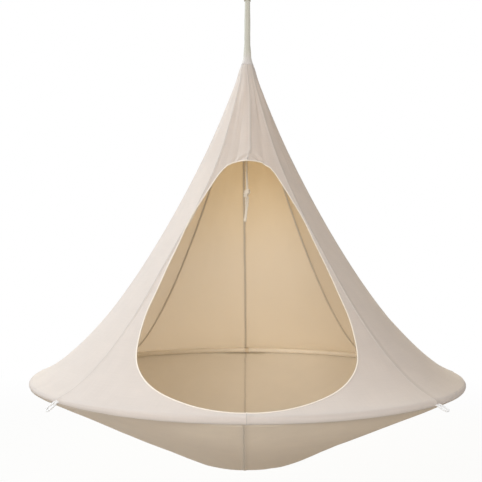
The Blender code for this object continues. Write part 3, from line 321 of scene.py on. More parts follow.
def cloth_material(name, base, deep=0.92, yarn=None, rows=(), seam_shade=1.0, sheen=0.12, through=0.0, painted_shading=None):
    """Woven cotton: yarns from the cloth's own UV map, patches of tone, and rows of stitches by the seams.

    The seam shade darkens the seam's line, a painted shade in the dip along the seam, and the painted shading gives
    the colour at a low and the height where it ends: painted light and shade that changes with height.
    """
    if name in bpy.data.materials:
        return bpy.data.materials[name]
    canvas = bpy.context.scene.tent_canvas
    made, tree, shader = surface(name, 0.93, sheen=sheen, specular=0.2)
    cloth = node(tree, "ShaderNodeUVMap", uv_map="cloth").outputs[0]
    height, slub = use(tree, weave_group(), cloth, yarn or canvas.yarn)
    patches = use(tree, soil_group(), object_place(tree))[0]
    tone = sums(tree, "MULTIPLY_ADD", span(tree, slub, 0.3, 0.7), 0.45,
                sums(tree, "MULTIPLY", span(tree, patches, 0.35, 0.65), 0.55))
    colours = blended(tree, tone, shade_of(base, deep), base)
    # Painted light and shade by height: the colour runs from the low colour to the cloth's own between two heights.
    if painted_shading:
        low_colour, low, high = painted_shading
        level = node(tree, "ShaderNodeSeparateXYZ", object_place(tree)).outputs[2]
        colours = blended(tree, span(tree, level, low, high), low_colour, colours)
    relief = sums(tree, "MULTIPLY", height, 0.45)
    relief = sums(tree, "MULTIPLY_ADD", slub, 0.6, relief)
    # Painted shade: the seam's line is darkened as if shade lay in the dip along it.
    if seam_shade < 1:
        colours = blended(tree, span(tree, attribute(tree, "seam"), 0.0005, 0.0015), shade_of(base, seam_shade), colours)
    for row in rows:
        thread = use(tree, stitch_group(), attribute(tree, "seam"), attribute(tree, "along"), row)[0]
        colours = blended(tree, thread, colours, tuple(canvas.thread))
        relief = sums(tree, "ADD", relief, thread)
    put(tree, colours, shader.inputs["Base Color"])
    raised(tree, shader, relief, 0.0003, 0.7)
    if through:
        let_through(tree, shader, colours, through)
    return made


def strand_material(name, base, yarns, lay, deep=0.90):
    """A twisted strand: slanting yarns with shade between them."""
    if name in bpy.data.materials:
        return bpy.data.materials[name]
    made, tree, shader = surface(name, 0.9, sheen=0.4, specular=0.2)
    height = use(tree, twist_group(), attribute(tree, "around"), attribute(tree, "along"), yarns, lay)[0]
    fuzz = grain(tree, object_place(tree), 900.0, 3.0)
    tone = sums(tree, "MULTIPLY_ADD", span(tree, height, 0.0, 0.75), 0.75, sums(tree, "MULTIPLY", fuzz, 0.25))
    put(tree, blended(tree, tone, shade_of(base, deep), base), shader.inputs["Base Color"])
    raised(tree, shader, sums(tree, "MULTIPLY_ADD", fuzz, 0.3, height), 0.0004, 0.6)
    return made


def metal_material(name, base, rough_low, rough_high, spangle):
    """Plated or brushed metal: a fine grain in its gloss and a faint cloud in its colour."""
    if name in bpy.data.materials:
        return bpy.data.materials[name]
    made, tree, shader = surface(name, 0.3, metallic=1.0)
    place = object_place(tree)
    clouds = grain(tree, place, spangle, 3.0)
    fine = grain(tree, place, spangle * 9, 2.0)
    put(tree, span(tree, sums(tree, "MULTIPLY_ADD", fine, 0.4, sums(tree, "MULTIPLY", clouds, 0.6)),
                   0.3, 0.7, rough_low, rough_high), shader.inputs["Roughness"])
    put(tree, blended(tree, clouds, shade_of(base, 0.90), base), shader.inputs["Base Color"])
    raised(tree, shader, fine, 0.00003, 0.4)
    return made


# Mesh helpers

def piece(name, bm, material, body):
    """Finish a bmesh as a piece that rides on a body."""
    mesh = bpy.data.meshes.new(name)
    bm.to_mesh(mesh)
    bm.free()
    mesh.shade_smooth()
    obj = bpy.data.objects.new(name, mesh)
    bpy.context.scene.collection.objects.link(obj)
    mesh.materials.append(material)
    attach(obj, body)
    return obj


def thicken(obj, thickness, inner=None, offset=-1.0):
    wall = obj.modifiers.new("Cloth", "SOLIDIFY")
    wall.thickness = thickness
    wall.offset = offset
    if inner:
        obj.data.materials.append(inner)
        wall.material_offset = 1
    return obj


def facing_out(bm, axis_z=None):
    """Turn an open sheet's faces away from the tent's axis, or from a point on it."""
    bmesh.ops.recalc_face_normals(bm, faces=bm.faces)
    face = max(bm.faces, key=lambda f: f.calc_area())
    middle = face.calc_center_median()
    if middle.dot(Vector((face.normal.x, face.normal.y, 0.0))) - 0.0 < 0 if axis_z is None else (
            (middle - Vector((0, 0, axis_z))).dot(face.normal) < 0):
        bmesh.ops.reverse_faces(bm, faces=bm.faces)


def cloth_layers(bm):
    return [bm.verts.layers.float.new(name) for name in ("seam", "along", "across")]


def grid(bm, layers, columns, rows, at):
    """A grid of faces whose corners are at(column, row): a place, the distance to a seam, and cloth lengths."""
    made = bmesh.ops.create_grid(bm, x_segments=columns, y_segments=rows, size=0.5)["verts"]
    for vert in made:
        place, *values = at(round((vert.co.x + 0.5) * columns), round((vert.co.y + 0.5) * rows))
        vert.co = place
        for layer, value in zip(layers, values):
            vert[layer] = value
    return made


def cloth_uv(bm, layers):
    """The cloth's own map, in metres, from its lengths across and along."""
    uv = bm.loops.layers.uv.new("cloth")
    for face in bm.faces:
        for loop in face.loops:
            loop[uv].uv = (loop.vert[layers[2]], loop.vert[layers[1]])


def compass(radius, angle, height):
    """A point round the tent's axis: 0 is the door's side, and angles go round to the right."""
    return Vector((radius * math.sin(angle), -radius * math.cos(angle), height))


def wave(low, high, value):
    """0 below low, 1 above high and a smooth rise between."""
    t = min(max((value - low) / (high - low), 0.0), 1.0)
    return t * t * (3 - 2 * t)


def smooth_line(points, per_span, before=None, after=None):
    """Points along a smooth curve through the given ones, which came from before and goes on to after."""
    points = [Vector(p) for p in points]
    padded = [before or 2 * points[0] - points[1]] + points + [after or 2 * points[-1] - points[-2]]
    line = []
    for a, b, c, d in zip(padded, padded[1:], padded[2:], padded[3:]):
        for k in range(per_span):
            t = k / per_span
            line.append(0.5 * (2 * b + (c - a) * t + (2 * a - 5 * b + 4 * c - d) * t ** 2
                               + (3 * b - a - 3 * c + d) * t ** 3))
    return line + [points[-1]]


def evenly(line, step):
    """The same line with its points a step apart."""
    runs = [0.0]
    for a, b in zip(line, line[1:]):
        runs.append(runs[-1] + (b - a).length)
    count = max(2, round(runs[-1] / step))
    picked, i = [], 0
    for k in range(count + 1):
        wanted = runs[-1] * k / count
        while i < len(runs) - 2 and runs[i + 1] < wanted:
            i += 1
        share = (wanted - runs[i]) / max(runs[i + 1] - runs[i], 1e-12)
        picked.append(line[i].lerp(line[i + 1], min(max(share, 0.0), 1.0)))
    return picked


def carried(line, start=None):
    """A frame at each point of a line that doesn't spin as it goes."""
    along = [(line[min(i + 1, len(line) - 1)] - line[max(i - 1, 0)]).normalized() for i in range(len(line))]
    side = start or (Vector((1, 0, 0)) if abs(along[0].x) < 0.8 else Vector((0, 1, 0)))
    frames = []
    for here, way in zip(line, along):
        side = (side - way * side.dot(way)).normalized()
        up = way.cross(side)
        frames.append(Matrix((side, up, way)).transposed().to_4x4())
        frames[-1].translation = here
    return frames


def sweep(bm, section, frames, widths=None, closed=False):
    """Extrude a closed outline along frames, with its place around and along kept for the shader."""
    around, along = (bm.verts.layers.float.get(name) or bm.verts.layers.float.new(name)
                     for name in ("around", "along"))
    widths = widths or [1.0] * len(frames)
    verts = [bm.verts.new(frames[0] @ (Vector((x, y, 0)) * widths[0])) for x, y in section]
    ring = [bm.edges.new((verts[i - 1], verts[i])) for i in range(len(verts))]
    for i, vert in enumerate(verts):
        vert[around] = abs(2.0 * i / len(verts) - 1.0) * 2.0
    first, run = list(ring), 0.0
    for k in range(1, len(frames)):
        made = bmesh.ops.extrude_edge_only(bm, edges=ring)["geom"]
        moved = [g for g in made if isinstance(g, bmesh.types.BMVert)]
        fresh = set(moved)
        ring = [g for g in made if isinstance(g, bmesh.types.BMEdge) and fresh.issuperset(g.verts)]
        size = widths[k] / widths[k - 1]
        bmesh.ops.transform(bm, verts=moved, matrix=frames[k] @ Matrix.Scale(size, 4)
                            @ frames[k - 1].inverted())
        run += (frames[k].translation - frames[k - 1].translation).length
        for vert in moved:
            vert[along] = run
    if closed:
        bmesh.ops.bridge_loops(bm, edges=first + ring)
    else:
        for loop in (first, ring):
            bmesh.ops.contextual_create(bm, geom=loop)


def circle(radius, sides):
    return [(radius * math.cos(2 * math.pi * k / sides), radius * math.sin(2 * math.pi * k / sides))
            for k in range(sides)]


def laid_rope(bm, line, diameter, lay, strands=3, sides=8, loose=None):
    """Strands twisted round a line, as in laid rope; loose(share) opens them out."""
    frames = carried(line)
    strand_radius = diameter * 0.262
    reach = diameter / 2 - strand_radius
    for s in range(strands):
        path, run = [], 0.0
        for i, here in enumerate(frames):
            if i:
                run += (line[i] - line[i - 1]).length
            a = 2 * math.pi * (run / lay + s / strands)
            out = reach * (1 + (loose(i / (len(frames) - 1)) if loose else 0.0))
            path.append(here @ Vector((out * math.cos(a), out * math.sin(a), 0)))
        sweep(bm, circle(strand_radius, sides), carried(path))


def wound(bm, line, radius, sides=6):
    sweep(bm, circle(radius, sides), carried(line))


def finished_tube(bm):
    bmesh.ops.recalc_face_normals(bm, faces=bm.faces)
    return bm


# Canopy

def hoop_seam(angle):
    """Where the bowl is sewn on round the wrap: lowest in front and behind, higher towards the sides."""
    side = math.sin(angle)
    return bpy.context.scene.tent_bowl.seam_side + (0.70 - 0.20 * side) * wave(0.12, 0.75, abs(side))


class Canopy:
    """The canopy's shape: its side outline by the run from the hoop, and points round it."""

    SAMPLES = 600

    def __init__(self):
        c = self.canvas = bpy.context.scene.tent_canvas
        self.wrap_top = math.pi / 2 - c.skirt_slope
        foot = Vector((c.hoop_radius + c.wrap_radius * math.cos(self.wrap_top),
                       c.wrap_radius * math.sin(self.wrap_top)))
        skirt = foot + c.skirt_pull * Vector((-math.cos(c.skirt_slope), math.sin(c.skirt_slope)))
        top = Vector((c.tip_radius, c.height))
        neck = top + c.neck_pull * Vector((math.sin(c.neck_lean), -math.cos(c.neck_lean)))
        self.points = []
        for i in range(self.SAMPLES + 1):
            t = i / self.SAMPLES
            s = 1 - t
            self.points.append(s ** 3 * foot + 3 * s * s * t * skirt + 3 * s * t * t * neck + t ** 3 * top)
        self.runs = [0.0]
        for a, b in zip(self.points, self.points[1:]):
            self.runs.append(self.runs[-1] + (b - a).length)
        self.length = self.runs[-1]

    def at(self, run):
        """(radius, height) at a run from the hoop."""
        run = min(max(run, 0.0), self.length)
        low, high = 0, self.SAMPLES
        while high - low > 1:
            middle = (low + high) // 2
            if self.runs[middle] <= run:
                low = middle
            else:
                high = middle
        share = (run - self.runs[low]) / (self.runs[high] - self.runs[low])
        here = self.points[low].lerp(self.points[high], share)
        from_tip = self.length - run
        here.x += 0.0023 * (1 - wave(0.16, 0.40, from_tip)) + 0.0026 * math.exp(-((from_tip - 0.052) / 0.030) ** 2)
        return here

    def gore_width(self, run):
        return 2 * math.pi / GORES * self.at(run).x

    def drift(self, angle, here):
        """How far a seam wanders round the tent: the sewn seams aren't quite at even angles."""
        eighth = math.pi / 4
        off = (angle + math.pi) % (2 * math.pi) - math.pi
        level = here.y / self.canvas.height
        corner = max(0.0, 1 - abs(abs(off) - eighth) / eighth)
        drawn = math.radians(7.0 if off > 0 else 11.0) * wave(0, 1, corner) * wave(0.30, 0.72, level) * (1 - wave(0.90, 1.0, level))
        front = wave(0, 1, max(0.0, 1 - abs(off) / eighth)) * wave(0.64, 0.68, level) * (1 - wave(0.84, 0.99, level))
        behind = wave(0, 1, max(0.0, 1 - (math.pi - abs(off)) / eighth)) * (1 - wave(0.85, 0.98, level))
        shift = 0.0105 * front + (0.006 + 0.008 * wave(0.05, 0.75, level)) * behind
        return (-drawn if off > 0 else drawn) + shift / max(here.x, 0.03)

    def point(self, angle, run, lift=0.0):
        """A point of the canvas's outer face, lifted off it along its normal."""
        here = self.at(run)
        rise = (self.at(run + 0.004) - self.at(run - 0.004)).normalized()
        level = here.y / self.canvas.height
        flat = self.canvas.flatness * wave(0.05, 0.40, level) * (1 - wave(0.80, 0.90, level))
        half = math.pi / GORES
        chord = math.cos(half) / math.cos(angle % (2 * half) - half)
        radius = here.x * (1 - flat + flat * chord) + lift * rise.y
        return compass(radius, angle + self.drift(angle, here), here.y - lift * rise.x + HOOP_Z)

    def wrap_point(self, angle, side, lift=0.0):
        """A point of the canvas round the hoop: side 0 is outermost, 90 degrees is on top."""
        reach = self.canvas.wrap_radius + lift
        here = Vector((self.canvas.hoop_radius + reach * math.cos(side), reach * math.sin(side)))
        return compass(here.x, angle + self.drift(angle, self.points[0]), here.y + HOOP_Z)


DOOR_ANGLES = (0, 11.5, 20.9, 27.3, 32.0, 37.5, 41.0, 42.1, 42.1, 41.2, 39.2, 34.4, 29.5, 21.8, 12.6, 5.8, 0)
DOOR_SHARES = (1.0, 0.9975, 0.986, 0.9617, 0.9203, 0.8342, 0.7488, 0.640, 0.539, 0.437, 0.338, 0.2243, 0.1524,
               0.0838, 0.0322, 0.0074, 0.0)


def door_line(canopy, samples, crowd, side):
    """(angle, run) points down one edge of the door, head to sill, closer together at the head.

    side is 1 on the right and -1 on the left, and the angles count away from the middle.
    """
    door = bpy.context.scene.tent_door
    edge = [Vector((math.radians(angle), door.sill + door.height * share, 0))
            for angle, share in zip(DOOR_ANGLES, DOOR_SHARES)]
    coarse = smooth_line(edge, 30, *(Vector((-p.x, p.y, 0)) for p in (edge[1], edge[-2])))
    for p in coarse:
        wanted, here = p.x, canopy.at(p.y)
        for _ in range(12 if wanted > 0.001 else 0):
            p.x = wanted - side * canopy.drift(side * p.x, here)
    places = [canopy.point(side * p.x, p.y) for p in coarse]
    runs = [0.0]
    for a, b in zip(places, places[1:]):
        runs.append(runs[-1] + (b - a).length)
    picked, i = [], 0
    for k in range(samples):
        share = k / (samples - 1)
        wanted = runs[-1] * (crowd * share + (1 - crowd) * share * share)
        while i < len(runs) - 2 and runs[i + 1] < wanted:
            i += 1
        here = coarse[i].lerp(coarse[i + 1], min((wanted - runs[i]) / (runs[i + 1] - runs[i]), 1.0))
        picked.append((max(here.x, 0.0), here.y))
    return picked


HEAD_FOLDS = (
    # from (across, above the head) to (across, above the head), width, depth
    ((0.006, 0.030), (-0.030, 0.004), 0.0060, 0.0040),
    ((0.010, 0.036), (0.056, 0.003), 0.0056, 0.0052),
    ((0.012, 0.022), (0.046, 0.004), 0.0050, 0.0040),
    ((-0.050, 0.016), (-0.086, -0.022), 0.0060, 0.0018),
    ((0.066, 0.006), (0.090, -0.026), 0.0060, 0.0022),
)


HEAD_LINE = ((0.0, 0.0005), (0.033, -0.0018), (0.060, -0.0120), (0.079, -0.034), (0.095, -0.073), (0.13, -0.18))


def head_folds(across, above):
    """How deep the puckers over the door's head are at a place in the canvas: none at the binding itself."""
    clear = 0.0
    for (x, low), (further, lower) in zip(HEAD_LINE, HEAD_LINE[1:]):
        if x <= abs(across) <= further:
            clear = above - (low + (lower - low) * (abs(across) - x) / (further - x))
    if clear < 0.003:
        return 0.0
    here = Vector((across, above))
    depth = 0.0
    for start, end, width, full in HEAD_FOLDS:
        a, b = Vector(start), Vector(end)
        share = min(max((here - a).dot(b - a) / (b - a).length_squared, 0.0), 1.0)
        off = (here - a.lerp(b, share)).length / width
        if off < 4:
            depth += full * (0.35 + 0.65 * share) * (math.exp(-off * off) - 0.45 * math.exp(-(off - 2) ** 2))
    return depth * wave(0.003, 0.010, clear)


def canvas_lift(canopy, angle, run, folds=True):
    """The canvas off its plain shape: seam ridges, slack between the seams, and puckers."""
    radius = canopy.at(run).x
    width = 2 * math.pi / GORES * radius
    share = (angle / (2 * math.pi / GORES)) % 1.0
    seam = min(share, 1 - share) * width
    ridge = 0.0011 * (1 - wave(0.0038, 0.0054, seam)) * wave(0.012, 0.05, width)
    between = math.sin(math.pi * share) ** 2
    high = wave(0.02, 0.25, run) * (1 - wave(canopy.length - 0.30, canopy.length - 0.02, run))
    slack = 0.0050 * noise.noise(Vector((3.1 * math.cos(angle), 3.1 * math.sin(angle), 3.4 * run + 7)))
    slack += 0.0016 * noise.noise(Vector((9 * math.cos(angle), 9 * math.sin(angle), 5.0 * run + 3)))
    pull = 0.0012 * math.sin(26 * run + 4 * noise.noise(Vector((angle * 2, run * 2, 5)))) * math.exp(
        -seam / 0.05) * wave(0.004, 0.02, seam) * high
    lift = ridge + slack * between * high + pull
    if folds:
        off = (angle + math.pi) % (2 * math.pi) - math.pi
        door = bpy.context.scene.tent_door
        lift -= head_folds(off * radius, run - door.sill - door.height)
    return lift, seam


def hoop_lift(angle, side):
    """Ripples of the canvas drawn round the hoop, strongest at the hoop seam."""
    ripple = noise.noise(Vector((24 * math.cos(angle), 24 * math.sin(angle), 1.3 * side)))
    fine = noise.noise(Vector((80 * math.cos(angle), 80 * math.sin(angle), 2.0 * side)))
    long = noise.noise(Vector((6 * math.cos(angle), 6 * math.sin(angle), 3.4 * side)))
    near_seam = 1 - wave(-1.1, 0.9, side)
    return 0.00035 * ripple + 0.00030 * fine * near_seam + 0.0008 * min(long, 0.0)


def shares_across(columns, width):
    """Column places across a gore: close together by both seams, even between them."""
    band = [min(d / width, limit) for d, limit in ((0.0030, 0.05), (0.0042, 0.08), (0.0060, 0.12))]
    even = columns - 2 * len(band)
    inner = [band[-1] + (1 - 2 * band[-1]) * k / even for k in range(even + 1)]
    return [0.0] + band[:-1] + inner + [1 - b for b in band[-2::-1]] + [1.0]


GORE_COLUMNS = 34
SIDE_ROWS = 84
TOP_ROWS = 58
WRAP_ROWS = 12


def canopy_cloth():
    """All eight gores and the wrap round the hoop, as one sheet with the doorway open in it."""
    canopy = Canopy()
    door = bpy.context.scene.tent_door
    gore = 2 * math.pi / GORES
    head = door.sill + door.height
    side_runs = [head * (1 - (k / SIDE_ROWS) ** 1.6) for k in range(SIDE_ROWS + 1)]
    top_runs = [canopy.length + (head - canopy.length) * (1 - (1 - k / TOP_ROWS) ** 1.55)
                for k in range(TOP_ROWS + 1)]
    samples = SIDE_ROWS + GORE_COLUMNS + 1
    edges = {0: door_line(canopy, samples, 0.5, 1), GORES - 1: door_line(canopy, samples, 0.5, -1)}
    bm = bmesh.new()
    layers = cloth_layers(bm)

    def lifted(angle, run, first):
        lift, seam = canvas_lift(canopy, angle, run)
        across = (angle - first - gore / 2) * canopy.at(run).x
        return canopy.point(angle, run, lift), seam, run, across

    for g in range(GORES):
        first = gore * g
        mirrored = g == GORES - 1
        front = g in (0, GORES - 1)

        def angle_at(share, run):
            return first + gore * (1 - share if mirrored else share)

        def plain(column, row, runs):
            run = runs[row]
            share = shares_across(GORE_COLUMNS, canopy.gore_width(run))[column]
            return lifted(angle_at(share, run), run, first)

        def beside_door(column, row):
            near_angle, near_run = edges[g][row]
            if row <= SIDE_ROWS:
                far_angle, far_run = gore, side_runs[row]
            else:
                on_hoop = shares_across(GORE_COLUMNS, canopy.gore_width(0))[GORE_COLUMNS - (row - SIDE_ROWS)]
                far_angle, far_run = gore * on_hoop, 0.0
            share = shares_across(GORE_COLUMNS, canopy.gore_width(far_run))[column]
            angle = near_angle + (far_angle - near_angle) * share
            run = near_run + (far_run - near_run) * share
            place, seam, along, across = lifted(first + (gore - angle if mirrored else angle), run, first)
            return place, seam, along, across

        grid(bm, layers, GORE_COLUMNS, TOP_ROWS, lambda c, r: plain(c, r, top_runs))
        if front:
            grid(bm, layers, GORE_COLUMNS, samples - 1, beside_door)
        else:
            grid(bm, layers, GORE_COLUMNS, SIDE_ROWS, lambda c, r: plain(c, r, side_runs))

        def round_hoop(column, row):
            share = shares_across(GORE_COLUMNS, canopy.gore_width(0))[column]
            angle = angle_at(share, 0)
            side = canopy.wrap_top + (hoop_seam(angle) + 0.02 - canopy.wrap_top) * row / WRAP_ROWS
            lift, seam = canvas_lift(canopy, angle, 0.0)
            lift += hoop_lift(angle, side) * wave(canopy.wrap_top, canopy.wrap_top - 0.5, side) if row else 0.0
            run = (side - canopy.wrap_top) * canopy.canvas.wrap_radius
            across = (angle - first - gore / 2) * canopy.canvas.hoop_radius
            return canopy.wrap_point(angle, side, lift), seam, run, across

        grid(bm, layers, GORE_COLUMNS, WRAP_ROWS, round_hoop)
    cloth_uv(bm, layers)
    bmesh.ops.remove_doubles(bm, verts=bm.verts, dist=0.00002)
    facing_out(bm)
    area = sum(f.calc_area() for f in bm.faces)
    canvas = canopy.canvas
    outer = cloth_material("canvas outside", tuple(canvas.outside), rows=(0.0030,), seam_shade=0.78,
                           through=canvas.through)
    cloth = piece("canopy_cloth", bm, outer, "tent")
    # Painted light: the inner face is painted warmer and deeper than the outer, and warmer still high up under the
    # tip, for the glow of light let through the canvas and bounced round inside.
    warm = tuple(c * share for c, share in zip(canvas.inside, (1.02, 0.955, 0.80)))
    thicken(cloth, canvas.thickness, cloth_material(
        "canvas inside", warm, deep=0.95, rows=(0.0030,), through=canvas.through,
        painted_shading=(tuple(canvas.inside), HOOP_Z + 0.35, HOOP_Z + 0.85)))
    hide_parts(*CANOPY_NODES)
    return cloth, area


def door_frames(canopy, samples, side):
    """Along one edge of the door: the place, the way out of the doorway in the canvas, and the normal."""
    line = [(side * angle, run) for angle, run in door_line(canopy, samples, 0.55, side)]
    frames = []
    for i, (angle, run) in enumerate(line):
        lift = canvas_lift(canopy, angle, run)[0]
        here = canopy.point(angle, run, lift)
        before, after = line[max(i - 1, 0)], line[min(i + 1, samples - 1)]
        along = canopy.point(*after) - canopy.point(*before)
        if i in (0, samples - 1):
            along = Vector((side if i == 0 else -side, 0, 0))
        nudge = 0.002
        across = canopy.point(angle + nudge, run) - canopy.point(angle - nudge, run)
        up = canopy.point(angle, run + nudge) - canopy.point(angle, run - nudge)
        normal = across.cross(up).normalized()
        if i in (0, samples - 1):
            normal = Vector((0, normal.y, normal.z)).normalized()
        away = normal.cross(along).normalized()
        if away.dot(here - canopy.point(0, 0.35)) < 0:
            away = -away
        frames.append((here, away, normal))
    return frames


def door_tape():
    """A tape folded over the canvas's edge all round the doorway."""
    canopy = Canopy()
    door = bpy.context.scene.tent_door
    right = door_frames(canopy, 330, 1)
    left = door_frames(canopy, 330, -1)[1:-1]
    half, deep = door.tape_width / 2, door.tape_depth / 2
    section = ((-half, 0), (-half * 0.86, deep * 0.72), (-half * 0.55, deep), (half * 0.75, deep * 0.97),
               (half, deep * 0.84), (half, -deep * 0.84), (half * 0.75, -deep * 0.97),
               (-half * 0.55, -deep), (-half * 0.86, -deep * 0.72))
    bm = bmesh.new()
    layers = cloth_layers(bm)
    first, ring, run, before = None, None, 0.0, None
    for i, (here, away, normal) in enumerate(right + left[::-1]):
        middle = here - normal * canopy.canvas.thickness / 2
        run += (middle - before).length if before else 0.0
        before = middle
        swell = 1 + 0.10 * noise.noise(middle * 90) + 0.06 * noise.noise(middle * 260)
        verts = []
        for across, out in section:
            vert = bm.verts.new(middle + away * across + normal * (out * swell))
            for layer, value in zip(layers, (half * 0.45 - across, run, across + out)):
                vert[layer] = value
            verts.append(vert)
        edges = [bm.edges.new((verts[k - 1], verts[k])) for k in range(len(verts))]
        if ring:
            bmesh.ops.bridge_loops(bm, edges=ring + edges)
        first, ring = first or edges, edges
    bmesh.ops.bridge_loops(bm, edges=ring + first)
    bmesh.ops.recalc_face_normals(bm, faces=bm.faces)
    cloth_uv(bm, layers)
    tape = piece("door_tape", bm, cloth_material("door tape", tuple(door.tape), deep=0.93, yarn=0.0006,
                                                 rows=(0.0,)), "tent")
    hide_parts("door_binding")
    return tape


def seam_tapes():
    """Strips that cover the seams inside the canopy and the bowl."""
    canopy = Canopy()
    canvas = canopy.canvas
    door = bpy.context.scene.tent_door
    bm = bmesh.new()
    layers = cloth_layers(bm)
    below = -(canvas.thickness + 0.0009)
    rows = 76
    for g in range(GORES):
        seam_angle = 2 * math.pi / GORES * g
        low = door.sill + door.height + door.tape_width / 2 + 0.001 if g == 0 else 0.006

        def strip(column, row):
            run = low + (canopy.length - 0.098 - low) * row / rows
            radius = canopy.at(run).x
            half = min(0.0042, radius * 0.20)
            off = half * (column - 2) / 2
            drift = 0.0008 * noise.noise(Vector((g * 5.0, run * 9, 0)))
            lift = below + 0.0002 * noise.noise(Vector((g * 3.0, run * 60, column)))
            return (canopy.point(seam_angle + (off + drift) / radius, run, lift), half * 0.55 - abs(off), run, off)

        grid(bm, layers, 4, rows, strip)
    bowl = Bowl()
    for g in range(BOWL_GORES):
        seam_angle = 2 * math.pi / BOWL_GORES * g

        def strip(column, row):
            run = 0.004 + (bowl.length - 0.010 - 0.004) * row / rows
            radius = bowl.at(run).x
            half = min(0.0042, radius * 0.3)
            off = half * (column - 2) / 2
            return (bowl.point(seam_angle + off / radius, run, below), half * 0.55 - abs(off), run, off)

        grid(bm, layers, 4, rows, strip)

    def patch(column, row):
        angle = 2 * math.pi * column / 32
        out = 0.028 * (1 - row / 4)
        return bowl.point(angle, bowl.length - out, below - 0.0010), out, out * math.cos(angle), out * math.sin(angle)

    grid(bm, layers, 32, 4, patch)
    bmesh.ops.remove_doubles(bm, verts=bm.verts, dist=0.00001)
    facing_out(bm, HOOP_Z)
    cloth_uv(bm, layers)
    # Painted shade: the tapes take the inner canvas darkened to 0.84, for the shade that lies along the taped seams.
    shade = shade_of(tuple(canvas.inside), 0.84)
    tapes = piece("seam_tapes", bm, cloth_material("seam tape", shade, deep=0.85, yarn=0.0006, rows=(0.0,)),
                  "tent")
    return thicken(tapes, 0.0007)


# Bowl and hoop

class Bowl:
    """The bowl's side outline by the run from the hoop seam down to its lowest point."""

    def __init__(self):
        canvas, bowl = bpy.context.scene.tent_canvas, bpy.context.scene.tent_bowl
        self.canvas = canvas
        self.side = side = -(math.pi / 2 - bowl.slope)
        rim = Vector((canvas.hoop_radius + canvas.wrap_radius * math.cos(side),
                      canvas.wrap_radius * math.sin(side)))
        round_radius = bowl.round_radius / math.sin(bowl.slope)
        slope_end = rim.y - (rim.x - bowl.round_radius) * math.tan(bowl.slope)
        steps = 40
        self.points = [rim.lerp(Vector((bowl.round_radius, slope_end)), k / steps) for k in range(steps)]
        for k in range(steps + 1):
            lean = bowl.slope * (1 - k / steps)
            self.points.append(Vector((round_radius * math.sin(lean),
                                       slope_end + round_radius * (math.cos(bowl.slope) - math.cos(lean)))))
        self.runs = [0.0]
        for a, b in zip(self.points, self.points[1:]):
            self.runs.append(self.runs[-1] + (b - a).length)
        self.length = self.runs[-1]

    def at(self, run):
        i = 0
        while i < len(self.runs) - 2 and self.runs[i + 1] < run:
            i += 1
        share = (run - self.runs[i]) / (self.runs[i + 1] - self.runs[i])
        return self.points[i].lerp(self.points[i + 1], min(max(share, 0.0), 1.0))

    def turned(self, angle, run, radius):
        """The angle with the wander of the seams, which aren't sewn quite straight."""
        off = (angle + math.pi) % (2 * math.pi) - math.pi
        ahead, behind = (wave(0, 1, max(0.0, 1 - 4 * far / math.pi)) for far in (abs(off), math.pi - abs(off)))
        wander = 0.0022 * noise.noise(Vector((19 * run, 2 * math.cos(angle), 2 * math.sin(angle))))
        shift = 0.0075 * (behind - ahead) + wander
        return angle + shift * wave(0.0, 0.10, radius) / max(radius, 0.05)

    def rim_point(self, angle, side, lift=0.0):
        reach = self.canvas.wrap_radius + lift
        out = self.canvas.hoop_radius + reach * math.cos(side)
        return compass(out, self.turned(angle, 0.0, out), reach * math.sin(side) + HOOP_Z)

    def point(self, angle, run, lift=0.0):
        here = self.at(run)
        fall = (self.at(min(run + 0.004, self.length)) - self.at(max(run - 0.004, 0.0))).normalized()
        lift -= 0.0045 * (1 - wave(0.2, 0.6, here.x)) * (0.65 + 0.35 * math.sin(angle))
        radius = max(here.x - lift * fall.y, 0.0)
        return compass(radius, self.turned(angle, run, here.x), here.y + lift * fall.x + HOOP_Z)


